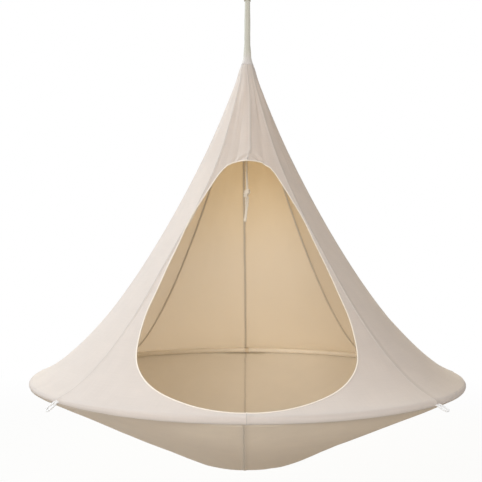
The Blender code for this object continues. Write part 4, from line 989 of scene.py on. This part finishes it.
def bowl_cloth():
    """The four bowl panels as one sheet, from the hoop seam to the point where they meet."""
    bowl = Bowl()
    canvas = bpy.context.scene.tent_canvas
    gore = 2 * math.pi / BOWL_GORES
    columns, rows = 52, 44
    bm = bmesh.new()
    layers = cloth_layers(bm)
    for g in range(BOWL_GORES):
        first = gore * g

        def at(column, row):
            run = bowl.length * (row / rows) ** 0.9
            radius = max(bowl.at(run).x, 0.0)
            share = shares_across(columns, max(gore * radius, 0.02))[column]
            seam = min(share, 1 - share) * gore * radius
            angle = first + gore * share
            ridge = 0.0011 * (1 - wave(0.0038, 0.0054, seam)) * wave(0.01, 0.06, radius)
            inner = wave(0.0, 0.12, run) * wave(0.0, 0.20, radius)
            slack = 0.0040 * noise.noise(Vector((3 * math.cos(angle), 3 * math.sin(angle), 4 * run)))
            slack += 0.0014 * noise.noise(Vector((11 * math.cos(angle), 11 * math.sin(angle), 9 * run)))
            rim = hoop_lift(angle, -1.1) * (1 - wave(0.0, 0.05, run))
            pull = 0.0015 * math.sin(44 * run + 3 * noise.noise(Vector((angle, 6 * run, 0)))) * math.exp(-seam / 0.04) * wave(0.004, 0.02, seam) * inner
            fine = 0.0007 * math.sin(170 * run + 4 * noise.noise(Vector((angle * 3, 9 * run, 4))))
            lift = ridge + slack * inner * math.sin(math.pi * share) + rim + pull + fine * math.exp(
                -seam / 0.014) * wave(0.004, 0.012, seam) * inner
            from_hoop = run + (hoop_seam(angle) - bowl.side) * bowl.canvas.wrap_radius
            return bowl.point(angle, run, lift), min(seam, from_hoop), run, (share - 0.5) * gore * radius

        def round_hoop(column, row):
            radius = bowl.at(0).x
            share = shares_across(columns, gore * radius)[column]
            angle, seam = first + gore * share, min(share, 1 - share) * gore * radius
            top = hoop_seam(angle)
            side = bowl.side + (top - bowl.side) * (1 - row / 5)
            lift = 0.0011 * (1 - wave(0.0038, 0.0054, seam)) + hoop_lift(angle, -1.1)
            run = (side - bowl.side) * -bowl.canvas.wrap_radius
            seam = min(seam, (top - side) * bowl.canvas.wrap_radius)
            return bowl.rim_point(angle, side, lift), seam, run, (share - 0.5) * gore * radius

        grid(bm, layers, columns, 5, round_hoop)
        grid(bm, layers, columns, rows, at)
    cloth_uv(bm, layers)
    bmesh.ops.remove_doubles(bm, verts=bm.verts, dist=0.00002)
    facing_out(bm, HOOP_Z)
    area = sum(f.calc_area() for f in bm.faces)
    settings = bpy.context.scene.tent_bowl
    # Painted shade: the outer face darkens towards the bottom of the bowl, for the shade on its underside.
    cloth = piece("bowl_cloth", bm, cloth_material(
        "bowl outside", tuple(settings.outside), rows=(0.0030,), seam_shade=0.86, through=settings.through,
        painted_shading=(shade_of(tuple(settings.outside), 0.91), HOOP_Z - 0.32, HOOP_Z - 0.09)), "tent")
    # Painted light: the inner face is near white, for the light that falls inside the bowl.
    thicken(cloth, canvas.thickness, cloth_material("bowl inside", tuple(settings.inside), deep=0.96, rows=(0.0030,),
                                                    through=settings.through))
    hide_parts(*BOWL_NODES)
    return cloth, area


def hoop_sleeve():
    """The sleeve that the tube slides in, slightly gathered round the hoop."""
    canvas = bpy.context.scene.tent_canvas
    bm = bmesh.new()
    layers = cloth_layers(bm)
    radius, sides, steps = 0.0106, 20, 240

    def at(column, row):
        angle, side = 2 * math.pi * row / steps, 2 * math.pi * column / sides
        gather = 0.0003 * noise.noise(Vector((30 * math.cos(angle), 30 * math.sin(angle), 2 * math.sin(side))))
        gather += 0.00025 * noise.noise(Vector((110 * math.cos(angle), 110 * math.sin(angle), 3 * math.cos(side))))
        reach = radius + gather * (0.5 - 0.5 * math.cos(side))
        along = angle * canvas.hoop_radius
        return (compass(canvas.hoop_radius + reach * math.cos(side), angle, reach * math.sin(side) + HOOP_Z),
                1.0, along, side * radius)

    grid(bm, layers, sides, steps, at)
    cloth_uv(bm, layers)
    bmesh.ops.remove_doubles(bm, verts=bm.verts, dist=0.00002)
    bmesh.ops.recalc_face_normals(bm, faces=bm.faces)
    area = sum(f.calc_area() for f in bm.faces)
    # Painted light: the sleeve is the inner canvas painted 4% lighter, for the lit round of the tube beside the
    # shaded canvas.
    shade = tuple(c * 1.04 for c in canvas.inside)
    sleeve = piece("sleeve_cloth", bm, cloth_material("sleeve canvas", shade, deep=0.92), "tent")
    thicken(sleeve, 0.0008)
    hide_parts("hoop_sleeve")
    return sleeve, area


def hoop_tabs():
    """Short tabs of the seam tapes that pass round the sleeve where the bowl's seams meet it."""
    canopy = Canopy()
    canvas = canopy.canvas
    bm = bmesh.new()
    layers = cloth_layers(bm)
    for g in range(BOWL_GORES):
        middle = 2 * math.pi / BOWL_GORES * g

        def at(column, row):
            side = math.radians(76) + math.radians(215) * row / 16
            reach = 0.0118 + 0.0009 * math.sin(math.pi * row / 16) ** 0.5
            off = 0.009 * (column - 3) / 3
            angle = middle + off / canvas.hoop_radius
            return (compass(canvas.hoop_radius + reach * math.cos(side), angle,
                            reach * math.sin(side) + HOOP_Z), 0.0065 - abs(off), side * reach, off)

        grid(bm, layers, 6, 16, at)
    cloth_uv(bm, layers)
    bmesh.ops.recalc_face_normals(bm, faces=bm.faces)
    for face in bm.faces:
        middle = face.calc_center_median()
        ring = compass(canvas.hoop_radius, math.atan2(middle.x, -middle.y), HOOP_Z)
        if (middle - ring).dot(face.normal) < 0:
            face.normal_flip()
    tabs = piece("hoop_tabs", bm, cloth_material("tab tape", paint(236, 218, 190), deep=0.9, yarn=0.0006,
                                                 rows=(0.0,)), "tent")
    return thicken(tabs, 0.0010)


# Rope, neck and loops

EYE_MIDDLE = -0.1364
EYE_RADIUS = 0.0179
EYE_LEAN = math.radians(25)
LEG_OFFSET = 0.0053
SEIZING = 0.032
LEG_FOOT = EYE_MIDDLE - EYE_RADIUS * math.sin(EYE_LEAN) - (
    EYE_RADIUS * math.cos(EYE_LEAN) - LEG_OFFSET) / math.tan(EYE_LEAN)
ROPE_FOOT = -0.6100


def rope_route():
    """The rope's middle: from its short tail up round the eye, and down to the stopper knot."""
    arc = []
    for k in range(25):
        a = -EYE_LEAN + (math.pi + 2 * EYE_LEAN) * k / 24
        arc.append(Vector((0, -EYE_RADIUS * math.cos(a), EYE_MIDDLE + EYE_RADIUS * math.sin(a))))
    foot = Vector((0, -LEG_OFFSET, LEG_FOOT))
    leg = [arc[1], arc[0], arc[0].lerp(foot, 0.35), arc[0].lerp(foot, 0.7), foot,
           foot - Vector((0, 0, SEIZING / 2)), foot - Vector((0, 0, SEIZING))]
    tail = leg + [leg[-1] - Vector((0, 0, 0.008))]
    low = LEG_FOOT - SEIZING
    standing = [Vector((p.x, -p.y, p.z)) for p in leg]
    standing += [Vector((0, LEG_OFFSET / 2, low - 0.015)), Vector((0, 0, low - 0.030)), Vector((0, 0, low - 0.060))]
    line = smooth_line(tail, 4)[5:][::-1] + arc + smooth_line(standing, 4)[5:]
    return line + [Vector((0, 0, ROPE_FOOT))]


def hanging_rope():
    rope = bpy.context.scene.tent_rope
    line = evenly(rope_route(), 0.0028)
    bm = bmesh.new()
    laid_rope(bm, line, rope.diameter, rope.lay)
    surface_now = strand_material("rope strands", tuple(rope.rope), 5.0, 0.020)
    made = piece("hanging_rope", finished_tube(bm), surface_now, "rope")
    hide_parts("suspension_rope")
    seizing = eye_seizing()
    stopper = stopper_coil(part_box("stopper_knot"), surface_now)
    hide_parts("stopper_knot")
    return made


def eye_seizing():
    """Twine wound round both legs of the eye."""
    rope = bpy.context.scene.tent_rope
    thin = rope.twine_diameter / 2
    top, foot = LEG_FOOT - 0.002 - thin, LEG_FOOT - SEIZING + 0.002 + thin
    turns = int((top - foot) / (2 * thin * 1.01))
    reach = 0.0053 + thin * 0.95
    loop = []
    for k in range(32):
        a = 2 * math.pi * k / 32
        shift = LEG_OFFSET if math.sin(a) >= 0 else -LEG_OFFSET
        loop.append(Vector((reach * math.cos(a), shift + reach * math.sin(a), 0)))
    line = []
    for k in range(turns * 32 + 1):
        line.append(loop[k % 32] + Vector((0, 0, foot + (top - foot) * k / (turns * 32))))
    bm = bmesh.new()
    wound(bm, line, thin)
    made = piece("seizing_twine", finished_tube(bm), strand_material("linen twine", tuple(rope.twine), 3.0, 0.006, deep=0.6),
                 "rope")
    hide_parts("eye_seizing")
    return made


def stopper_coil(box, surface_now):
    """The knot over the collar: the rope coiled down round itself and drawn tight."""
    low, high = box
    rope = bpy.context.scene.tent_rope
    turns, per_turn, thick = 4.2, 22, rope.diameter * 0.96
    reach, height = high.x - thick / 2, high.z - low.z
    count = int(per_turn * turns)
    line = []
    for k in range(-6, count + 7):
        share = min(max(k / count, 0.0), 1.0)
        a = 2 * math.pi * k / per_turn + 0.6
        out = reach * (1 - 0.75 * max(-k, k - count, 0) / 6)
        line.append(Vector((out * math.cos(a), out * math.sin(a),
                            high.z - thick / 2 - (height - thick) * share)))
    bm = bmesh.new()
    laid_rope(bm, evenly(line, 0.0022), thick, thick * 3.4)
    laid_rope(bm, evenly([Vector((0, 0, high.z - 0.001)), Vector((0, 0, low.z + 0.001))], 0.003),
              rope.diameter * 0.9, rope.lay)
    return piece("stopper_coil", finished_tube(bm), surface_now, "rope")


def overhand_knot(box, surface_now):
    """A double overhand knot in the rope's tail: two slanting turns round the rope, pulled tight."""
    low, high = box
    rope = bpy.context.scene.tent_rope
    middle = (low.z + high.z) / 2
    per_turn, turns, reach, height = 22, 1.9, 0.0082, 0.0150
    count = int(per_turn * turns)
    line = []
    for k in range(-7, count + 8):
        past = max(-k, k - count, 0) / 7
        a = 2 * math.pi * k / per_turn - 2.2
        x, y = reach * (1 - 0.8 * past) * math.cos(a), reach * (1 - 0.8 * past) * math.sin(a)
        z = middle + height * (0.5 - min(max(k / count, -0.2), 1.2)) + 0.55 * x
        line.append(Vector((x - 0.001, y, z)))
    bm = bmesh.new()
    laid_rope(bm, evenly(line, 0.0022), rope.diameter * 1.02, rope.diameter * 3.4)
    laid_rope(bm, evenly([Vector((0, 0, high.z)), Vector((-0.0006, 0, middle)), Vector((0, 0, low.z))], 0.003),
              rope.diameter * 0.97, rope.lay)
    return piece("overhand_knot", finished_tube(bm), surface_now, "rope")


def inner_rope():
    """The knotted tail that hangs inside the tent."""
    rope = bpy.context.scene.tent_rope
    surface_now = strand_material("rope strands", tuple(rope.rope), 5.0, 0.020)
    low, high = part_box("rope_tail")
    top, foot = high.z, low.z
    upper = smooth_line([(0, 0, top), (0.001, 0, top * 0.7 + foot * 0.3), (-0.002, 0, top * 0.3 + foot * 0.7),
                         (0, 0, foot)], 10)
    bm = bmesh.new()
    line = evenly(upper, 0.0028)
    laid_rope(bm, line, rope.diameter, rope.lay)
    tail = piece("inner_rope", finished_tube(bm), surface_now, "rope")
    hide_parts("rope_tail")
    knot = overhand_knot(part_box("tail_knot"), surface_now)
    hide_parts("tail_knot")
    low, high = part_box("rope_end")
    top, drop = high.z, high.z - low.z - 0.0006
    lower = smooth_line([(0, 0, top), (-0.001, 0, top - drop * 0.35), (-0.004, 0, top - drop * 0.7),
                         (-0.008, 0, top - drop)], 8)
    bm = bmesh.new()
    line = evenly(lower, 0.0028)
    laid_rope(bm, line, rope.diameter, rope.lay * 1.3,
              loose=lambda share: 1.05 * (1 - wave(0.15, 0.55, share)) + 0.30 * wave(0.7, 0.95, share))
    end = piece("inner_rope_end", finished_tube(bm), surface_now, "rope")
    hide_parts("rope_end")


def neck_sleeve():
    """The canvas sleeve over the rope, flared over the canopy's tip and whipped at its top."""
    canopy = Canopy()
    rope = bpy.context.scene.tent_rope
    low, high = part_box("neck_sleeve")
    foot, top = low.z - HOOP_Z - 0.034, high.z - HOOP_Z
    tip = canopy.canvas.height
    bm = bmesh.new()
    layers = cloth_layers(bm)
    columns, rows = 48, 60

    def radius_at(z):
        if z <= tip:
            a = canopy.length - (tip - z) / math.cos(canopy.canvas.neck_lean)
            return canopy.at(a).x + 0.0003 + 0.0005 * wave(foot, tip, z)
        start = canopy.at(canopy.length).x + 0.0008
        plain = 0.0099 + 0.0011 * (1 - wave(top - 0.10, top - 0.045, z))
        return plain + (start - plain) * (1 - wave(0.0, 0.060, z - tip))

    def at(column, row):
        angle = 2 * math.pi * column / columns
        if row <= rows - 3:
            z = foot + (top - foot) * (row / (rows - 3)) ** 0.8
            radius = radius_at(z)
        else:
            z = top + 0.0002
            radius = (0.0088, 0.0070, 0.0056)[row - rows + 2]
        high_up = wave(foot, tip + 0.03, z)
        pleat = 0.00035 * math.sin(9 * angle + 2.2 * math.sin(14 * z)) * high_up
        pleat += 0.00045 * noise.noise(Vector((2 * math.cos(angle), 2 * math.sin(angle), 28 * z))) * high_up
        return compass(radius + min(pleat, 0.0004), angle, z + HOOP_Z), z - foot, angle * 0.01, z

    grid(bm, layers, columns, rows, at)
    cloth_uv(bm, layers)
    bmesh.ops.remove_doubles(bm, verts=bm.verts, dist=0.00001)
    facing_out(bm)
    area = sum(f.calc_area() for f in bm.faces)
    # Painted shade: the neck's colour runs down to the canopy's canvas darkened to 0.8 at its foot, so the foot
    # renders as dark as the canopy's canvas beside it.
    neck = piece("neck_cloth", bm, cloth_material(
        "neck canvas", tuple(rope.neck), deep=0.9, painted_shading=(shade_of(tuple(canopy.canvas.outside), 0.80), HOOP_Z + foot,
                                                         HOOP_Z + tip + 0.03)),
                 "tent")
    thicken(neck, 0.0009)
    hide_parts("neck_sleeve")
    low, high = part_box("neck_whipping")
    thin = rope.twine_diameter / 2
    turns = int((high.z - low.z - 2 * thin) / (2 * thin))
    reach = 0.0103 + thin
    line = []
    for k in range(turns * 24 + 1):
        a = 2 * math.pi * k / 24
        z = low.z + thin + (high.z - low.z - 2 * thin) * k / (turns * 24)
        line.append(Vector((reach * math.cos(a), reach * math.sin(a), z)))
    bm = bmesh.new()
    wound(bm, line, thin)
    whipping = piece("whipping_twine", finished_tube(bm),
                     strand_material("linen twine", tuple(rope.twine), 3.0, 0.006, deep=0.6), "tent")
    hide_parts("neck_whipping")
    return neck, area


def apex_collar():
    """Webbing rolled up inside the canopy's tips, over the stopper knot."""
    low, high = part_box("apex_collar")
    wide = high.x
    canopy = Canopy()
    bm = bmesh.new()
    outline = [Vector((0.0056, 0, high.z))]
    for k in range(5):
        z = high.z + (low.z - high.z) * k / 4
        run = canopy.length - (canopy.canvas.height + HOOP_Z - z) / math.cos(canopy.canvas.neck_lean)
        outline.append(Vector((canopy.at(run).x - 0.0016, 0, z)))
    turns = 6
    for k in range(turns * 4):
        share = k / (turns * 4 - 1)
        radius = outline[-1].x * (1 - share) + 0.0060 * share if k == 0 else wide * 0
        radius = (canopy.at(canopy.length - 0.092).x - 0.003) * (1 - share) + 0.0060 * share
        bump = 0.0011 * abs(math.sin(math.pi * turns * share))
        outline.append(Vector((radius, 0, low.z - bump + 0.0011)))
    outline.append(Vector((0.0056, 0, low.z + 0.001)))
    verts = [bm.verts.new(p) for p in outline]
    edges = [bm.edges.new((verts[i - 1], verts[i])) for i in range(len(verts))]
    bmesh.ops.spin(bm, geom=edges, cent=(0, 0, 0), axis=(0, 0, 1), angle=2 * math.pi, steps=64, use_merge=True)
    bmesh.ops.recalc_face_normals(bm, faces=bm.faces)
    layers = cloth_layers(bm)
    for vert in bm.verts:
        vert[layers[0]] = 1.0
        vert[layers[1]] = vert.co.z + vert.co.xy.length
        vert[layers[2]] = math.atan2(vert.co.y, vert.co.x) * 0.02
    cloth_uv(bm, layers)
    collar = piece("collar_webbing", bm, cloth_material("webbing", paint(214, 196, 168), deep=0.8, yarn=0.0016),
                   "tent")
    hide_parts("apex_collar")
    return collar


LOOP_ROUTE = (
    # out from the wrap's face, down from where the loop is sewn, half the gap between the strands
    (-0.0050, 0.0004, 0.0045), (0.0025, 0.0000, 0.0050), (0.0090, 0.0030, 0.0064), (0.0170, 0.0085, 0.0084),
    (0.0255, 0.0150, 0.0080), (0.0320, 0.0200, 0.0046))

# where each loop is sewn round the wrap, and how much it droops
LOOP_SET = {"front_left": (4, 1.0), "front_right": (-14, 0.6), "back_left": (2, 0.9), "back_right": (-4, 0.8)}


def tie_loops():
    """A doubled white cord at the foot of each corner seam, sewn in just over the hoop."""
    canvas = bpy.context.scene.tent_canvas
    rope = bpy.context.scene.tent_rope
    material = strand_material("cotton cord", tuple(rope.cotton), 4.0, 0.010, deep=0.88)
    for name, degrees in CORNERS.items():
        sewn_at, droop = math.radians(LOOP_SET[name][0]), LOOP_SET[name][1]
        radial = compass(1, math.radians(degrees), 0)
        across = Vector((0, 0, 1)).cross(radial)
        middle = radial * (canvas.hoop_radius + canvas.wrap_radius * math.cos(sewn_at))
        middle.z = HOOP_Z + canvas.wrap_radius * math.sin(sewn_at)
        side = 1 if name in ("front_left", "back_right") else -1
        route = []
        for sign in (1, -1):
            strand = [middle + radial * out + across * (sign * gap)
                      - Vector((0, 0, down * droop + 0.10 * gap * sign * side)) for out, down, gap in LOOP_ROUTE]
            route += strand if sign == 1 else strand[::-1]
        line = evenly(smooth_line(route, 8), 0.0014)
        bm = bmesh.new()
        laid_rope(bm, line, rope.loop_diameter, 0.016)
        loop = piece("loop_cord_" + name, finished_tube(bm), material, "tent")
        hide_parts("tie_loop_" + name)


SPRING_LEAF = 0.0005
SPRING_WIDTH = 0.005
SPRING_LENGTH = 0.020


def button_springs():
    """A leaf bent double under each snap button, made in its resting shape: the real leaf flattens when the button is
    pressed in, but this one does not move.
    """
    steel = metal_material("spring steel", paint(150, 152, 156), 0.25, 0.35, 80.0)
    wide, thick = SPRING_WIDTH / 2, SPRING_LEAF / 2
    section = ((wide, thick * 0.6), (wide * 0.95, thick), (-wide * 0.95, thick), (-wide, thick * 0.6),
               (-wide, -thick * 0.6), (-wide * 0.95, -thick), (wide * 0.95, -thick), (wide, -thick * 0.6))
    for name in CORNERS:
        low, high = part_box("button_spring_" + name)
        foot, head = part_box("snap_button_" + name)
        under = (foot + head) / 2
        along = (low + high) / 2 - under
        along.z = 0
        along.normalize()
        rise = (high.z - low.z) / 2 - thick
        leg = [(-0.3, 1.0), (0.0, 1.0), (0.2, 1.0), (0.6, 0.56), (0.9, 0.20), (1.0, 0.0)]
        outline = leg + [(out, -up) for out, up in leg[-2::-1]]
        middle = Vector((under.x, under.y, (low.z + high.z) / 2))
        line = smooth_line([middle + along * (SPRING_LENGTH * out) + Vector((0, 0, rise * up))
                            for out, up in outline], 6)
        bm = bmesh.new()
        sweep(bm, section, carried(line, start=Vector((0, 0, 1)).cross(along)))
        spring = piece("leaf_spring_" + name, finished_tube(bm), steel, "tent")
        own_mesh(spring)
        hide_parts("button_spring_" + name)


def metal_finishes():
    """Give the hook, the eye plate, the thimble, the hoop and its small parts their metals."""
    zinc = metal_material("zinc plate", paint(158, 161, 166), 0.30, 0.40, 60.0)
    bright = metal_material("bright steel", paint(176, 177, 180), 0.18, 0.26, 80.0)
    tube = metal_material("drawn aluminium", paint(176, 179, 184), 0.28, 0.38, 60.0)
    finishes = {"zinc_steel": zinc, "bright_steel": bright, "hoop_aluminium": tube}
    for obj in NODES.values():
        for place in obj.material_slots:
            if place.material and place.material.name in finishes:
                place.material = finishes[place.material.name]


# Stage

def soft_light(name, place, aim, size, power, tint):
    lamp = bpy.data.lights.new(name, "AREA")
    lamp.shape = "DISK"
    lamp.size = size
    lamp.energy = power
    lamp.color = tint
    obj = bpy.data.objects.new(name, lamp)
    bpy.context.scene.collection.objects.link(obj)
    obj.location = place
    obj.rotation_euler = (Vector(aim) - Vector(place)).to_track_quat("-Z", "Y").to_euler()


def set_stage():
    """Camera, pale floor, plain light."""
    stage = bpy.context.scene.tent_stage
    scene = bpy.context.scene
    lens = bpy.data.cameras.new("Camera")
    lens.sensor_width = 36
    lens.lens = stage.lens
    lens.clip_end = 100
    camera = bpy.data.objects.new("Camera", lens)
    scene.collection.objects.link(camera)
    focal = stage.lens / 36 * 482
    pitch = math.atan((276.3 - 241) / focal)
    yaw = math.atan(6.0 / focal)
    camera.location = (0, -stage.distance, HOOP_Z + stage.eye_height)
    turned = Matrix.Rotation(yaw, 4, "Z") @ Matrix.Rotation(math.pi / 2 + pitch, 4, "X")
    camera.rotation_euler = (turned @ Matrix.Rotation(math.radians(0.12), 4, "Z")).to_euler()
    scene.camera = camera

    bm = bmesh.new()
    bmesh.ops.create_circle(bm, cap_ends=True, segments=96, radius=14.0,
                            matrix=Matrix.Translation((0, 0, HOOP_Z - stage.floor_drop)))
    bmesh.ops.recalc_face_normals(bm, faces=bm.faces)
    if next(iter(bm.faces)).normal.z < 0:
        bmesh.ops.reverse_faces(bm, faces=bm.faces)
    mesh = bpy.data.meshes.new("floor")
    bm.to_mesh(mesh)
    bm.free()
    floor = bpy.data.objects.new("floor", mesh)
    scene.collection.objects.link(floor)
    made = bpy.data.materials.new("pale floor")
    made.use_nodes = True
    tree = made.node_tree
    tree.nodes.clear()
    matt = node(tree, "ShaderNodeBsdfDiffuse", (0.62, 0.60, 0.58, 1.0))
    far = span(tree, node(tree, "ShaderNodeVectorMath", object_place(tree), operation="LENGTH").outputs["Value"],
               2.8, 7.0, 0.87, 1.0)
    white = node(tree, "ShaderNodeEmission", (1, 1, 1, 1), 1.0)
    path = tree.nodes.new("ShaderNodeLightPath")
    seen = sums(tree, "MAXIMUM", sums(tree, "MAXIMUM", path.outputs["Is Camera Ray"], path.outputs["Is Glossy Ray"]),
                path.outputs["Is Transmission Ray"])
    mix = node(tree, "ShaderNodeMixShader", sums(tree, "MULTIPLY", seen, far), matt.outputs[0], white.outputs[0])
    out = node(tree, "ShaderNodeOutputMaterial", mix.outputs[0])
    out.is_active_output = True
    mesh.materials.append(made)

    world = bpy.data.worlds.new("Soft light")
    scene.world = world
    world.use_nodes = True
    tree = world.node_tree
    tree.nodes.clear()
    sky = node(tree, "ShaderNodeBackground", (1.0, 0.985, 0.97, 1.0), stage.sky)
    plain = node(tree, "ShaderNodeBackground", (1, 1, 1, 1), 1.0)
    path = tree.nodes.new("ShaderNodeLightPath")
    seen = sums(tree, "MAXIMUM", sums(tree, "MAXIMUM", path.outputs["Is Camera Ray"], path.outputs["Is Glossy Ray"]),
                path.outputs["Is Transmission Ray"])
    mix = node(tree, "ShaderNodeMixShader", seen, sky.outputs[0], plain.outputs[0])
    node(tree, "ShaderNodeOutputWorld", mix.outputs[0])

    middle = (0, 0, HOOP_Z + 0.4)
    soft_light("left", (-2.8, 1.4, 2.2), middle, 2.4, stage.left_power, (0.80, 0.91, 1.0))
    soft_light("front", (-0.75, -4.45, -0.35), middle, 2.8, stage.front_power, (1.0, 1.0, 1.0))
    soft_light("back", (0.5, 4.0, 0.5), middle, 2.8, stage.back_power, (1.0, 0.88, 0.50))
    scene.view_settings.view_transform = "Standard"


class TENT_OT_stage(bpy.types.Operator):
    """Set the camera, the pale floor and the soft light"""
    bl_idname = "tent.stage"
    bl_label = "Stage"

    def execute(self, context):
        set_stage()
        return {"FINISHED"}


class TENT_OT_hanging_rope(bpy.types.Operator):
    """Lay the rope round its thimble, seize its eye and tie the stopper knot"""
    bl_idname = "tent.hanging_rope"
    bl_label = "Hanging Rope"

    def execute(self, context):
        hanging_rope()
        return {"FINISHED"}


class TENT_OT_inner_rope(bpy.types.Operator):
    """Hang the knotted tail of the rope inside the tent"""
    bl_idname = "tent.inner_rope"
    bl_label = "Inner Rope"

    def execute(self, context):
        inner_rope()
        return {"FINISHED"}


class TENT_OT_tie_loops(bpy.types.Operator):
    """Sew the white cord loops to the corner seams"""
    bl_idname = "tent.tie_loops"
    bl_label = "Tie Loops"

    def execute(self, context):
        tie_loops()
        return {"FINISHED"}


class TENT_OT_canopy(bpy.types.Operator):
    """Cut the canopy as one sheet, bind its doorway and tape its seams"""
    bl_idname = "tent.canopy"
    bl_label = "Canopy"

    def execute(self, context):
        cloth, area = canopy_cloth()
        tape = door_tape()
        tapes = seam_tapes()
        print("canopy area", area)
        return {"FINISHED"}


class TENT_OT_bowl(bpy.types.Operator):
    """Cut the bowl as one sheet, from the hoop seam down"""
    bl_idname = "tent.bowl"
    bl_label = "Bowl"

    def execute(self, context):
        cloth, area = bowl_cloth()
        print("bowl area", area)
        return {"FINISHED"}


class TENT_OT_hoop_sleeve(bpy.types.Operator):
    """Draw the sleeve over the hoop and fold the tabs round it"""
    bl_idname = "tent.hoop_sleeve"
    bl_label = "Hoop Sleeve"

    def execute(self, context):
        sleeve, area = hoop_sleeve()
        hoop_tabs()
        print("sleeve area", area)
        return {"FINISHED"}


class TENT_OT_neck(bpy.types.Operator):
    """Draw the neck over the rope, whip it, and roll the webbing collar inside the tip"""
    bl_idname = "tent.neck"
    bl_label = "Neck"

    def execute(self, context):
        neck, area = neck_sleeve()
        apex_collar()
        print("neck area", area)
        return {"FINISHED"}


class TENT_OT_button_springs(bpy.types.Operator):
    """Bend a leaf spring under each snap button of the hoop"""
    bl_idname = "tent.button_springs"
    bl_label = "Button Springs"

    def execute(self, context):
        button_springs()
        return {"FINISHED"}


class TENT_OT_metal(bpy.types.Operator):
    """Plate the hook and the eye, and brush the hoop"""
    bl_idname = "tent.metal"
    bl_label = "Metal"

    def execute(self, context):
        metal_finishes()
        return {"FINISHED"}


class TENT_PT_panel(bpy.types.Panel):
    bl_idname = "TENT_PT_panel"
    bl_label = "Hanging Tent"
    bl_space_type = "VIEW_3D"
    bl_region_type = "UI"
    bl_category = "Tent"

    def draw(self, context):
        for operator in OPERATORS:
            self.layout.operator(operator.bl_idname)


GROUPS = {"tent_canvas": TentCanvas, "tent_door": TentDoor, "tent_bowl": TentBowl, "tent_rope": TentRope,
          "tent_stage": TentStage}
OPERATORS = (TENT_OT_stage, TENT_OT_hanging_rope, TENT_OT_inner_rope, TENT_OT_tie_loops, TENT_OT_canopy,
             TENT_OT_bowl, TENT_OT_hoop_sleeve, TENT_OT_neck, TENT_OT_button_springs, TENT_OT_metal)


def register():
    for group in (*GROUPS.values(), *OPERATORS, TENT_PT_panel):
        bpy.utils.register_class(group)
    for name, group in GROUPS.items():
        setattr(bpy.types.Scene, name, PointerProperty(type=group))


def unregister():
    for name in GROUPS:
        delattr(bpy.types.Scene, name)
    for group in (TENT_PT_panel, *reversed(OPERATORS), *GROUPS.values()):
        bpy.utils.unregister_class(group)


def main():
    register()
    for operator in OPERATORS:
        family, name = operator.bl_idname.split(".")
        getattr(getattr(bpy.ops, family), name)()


if __name__ == "__main__":
    main()
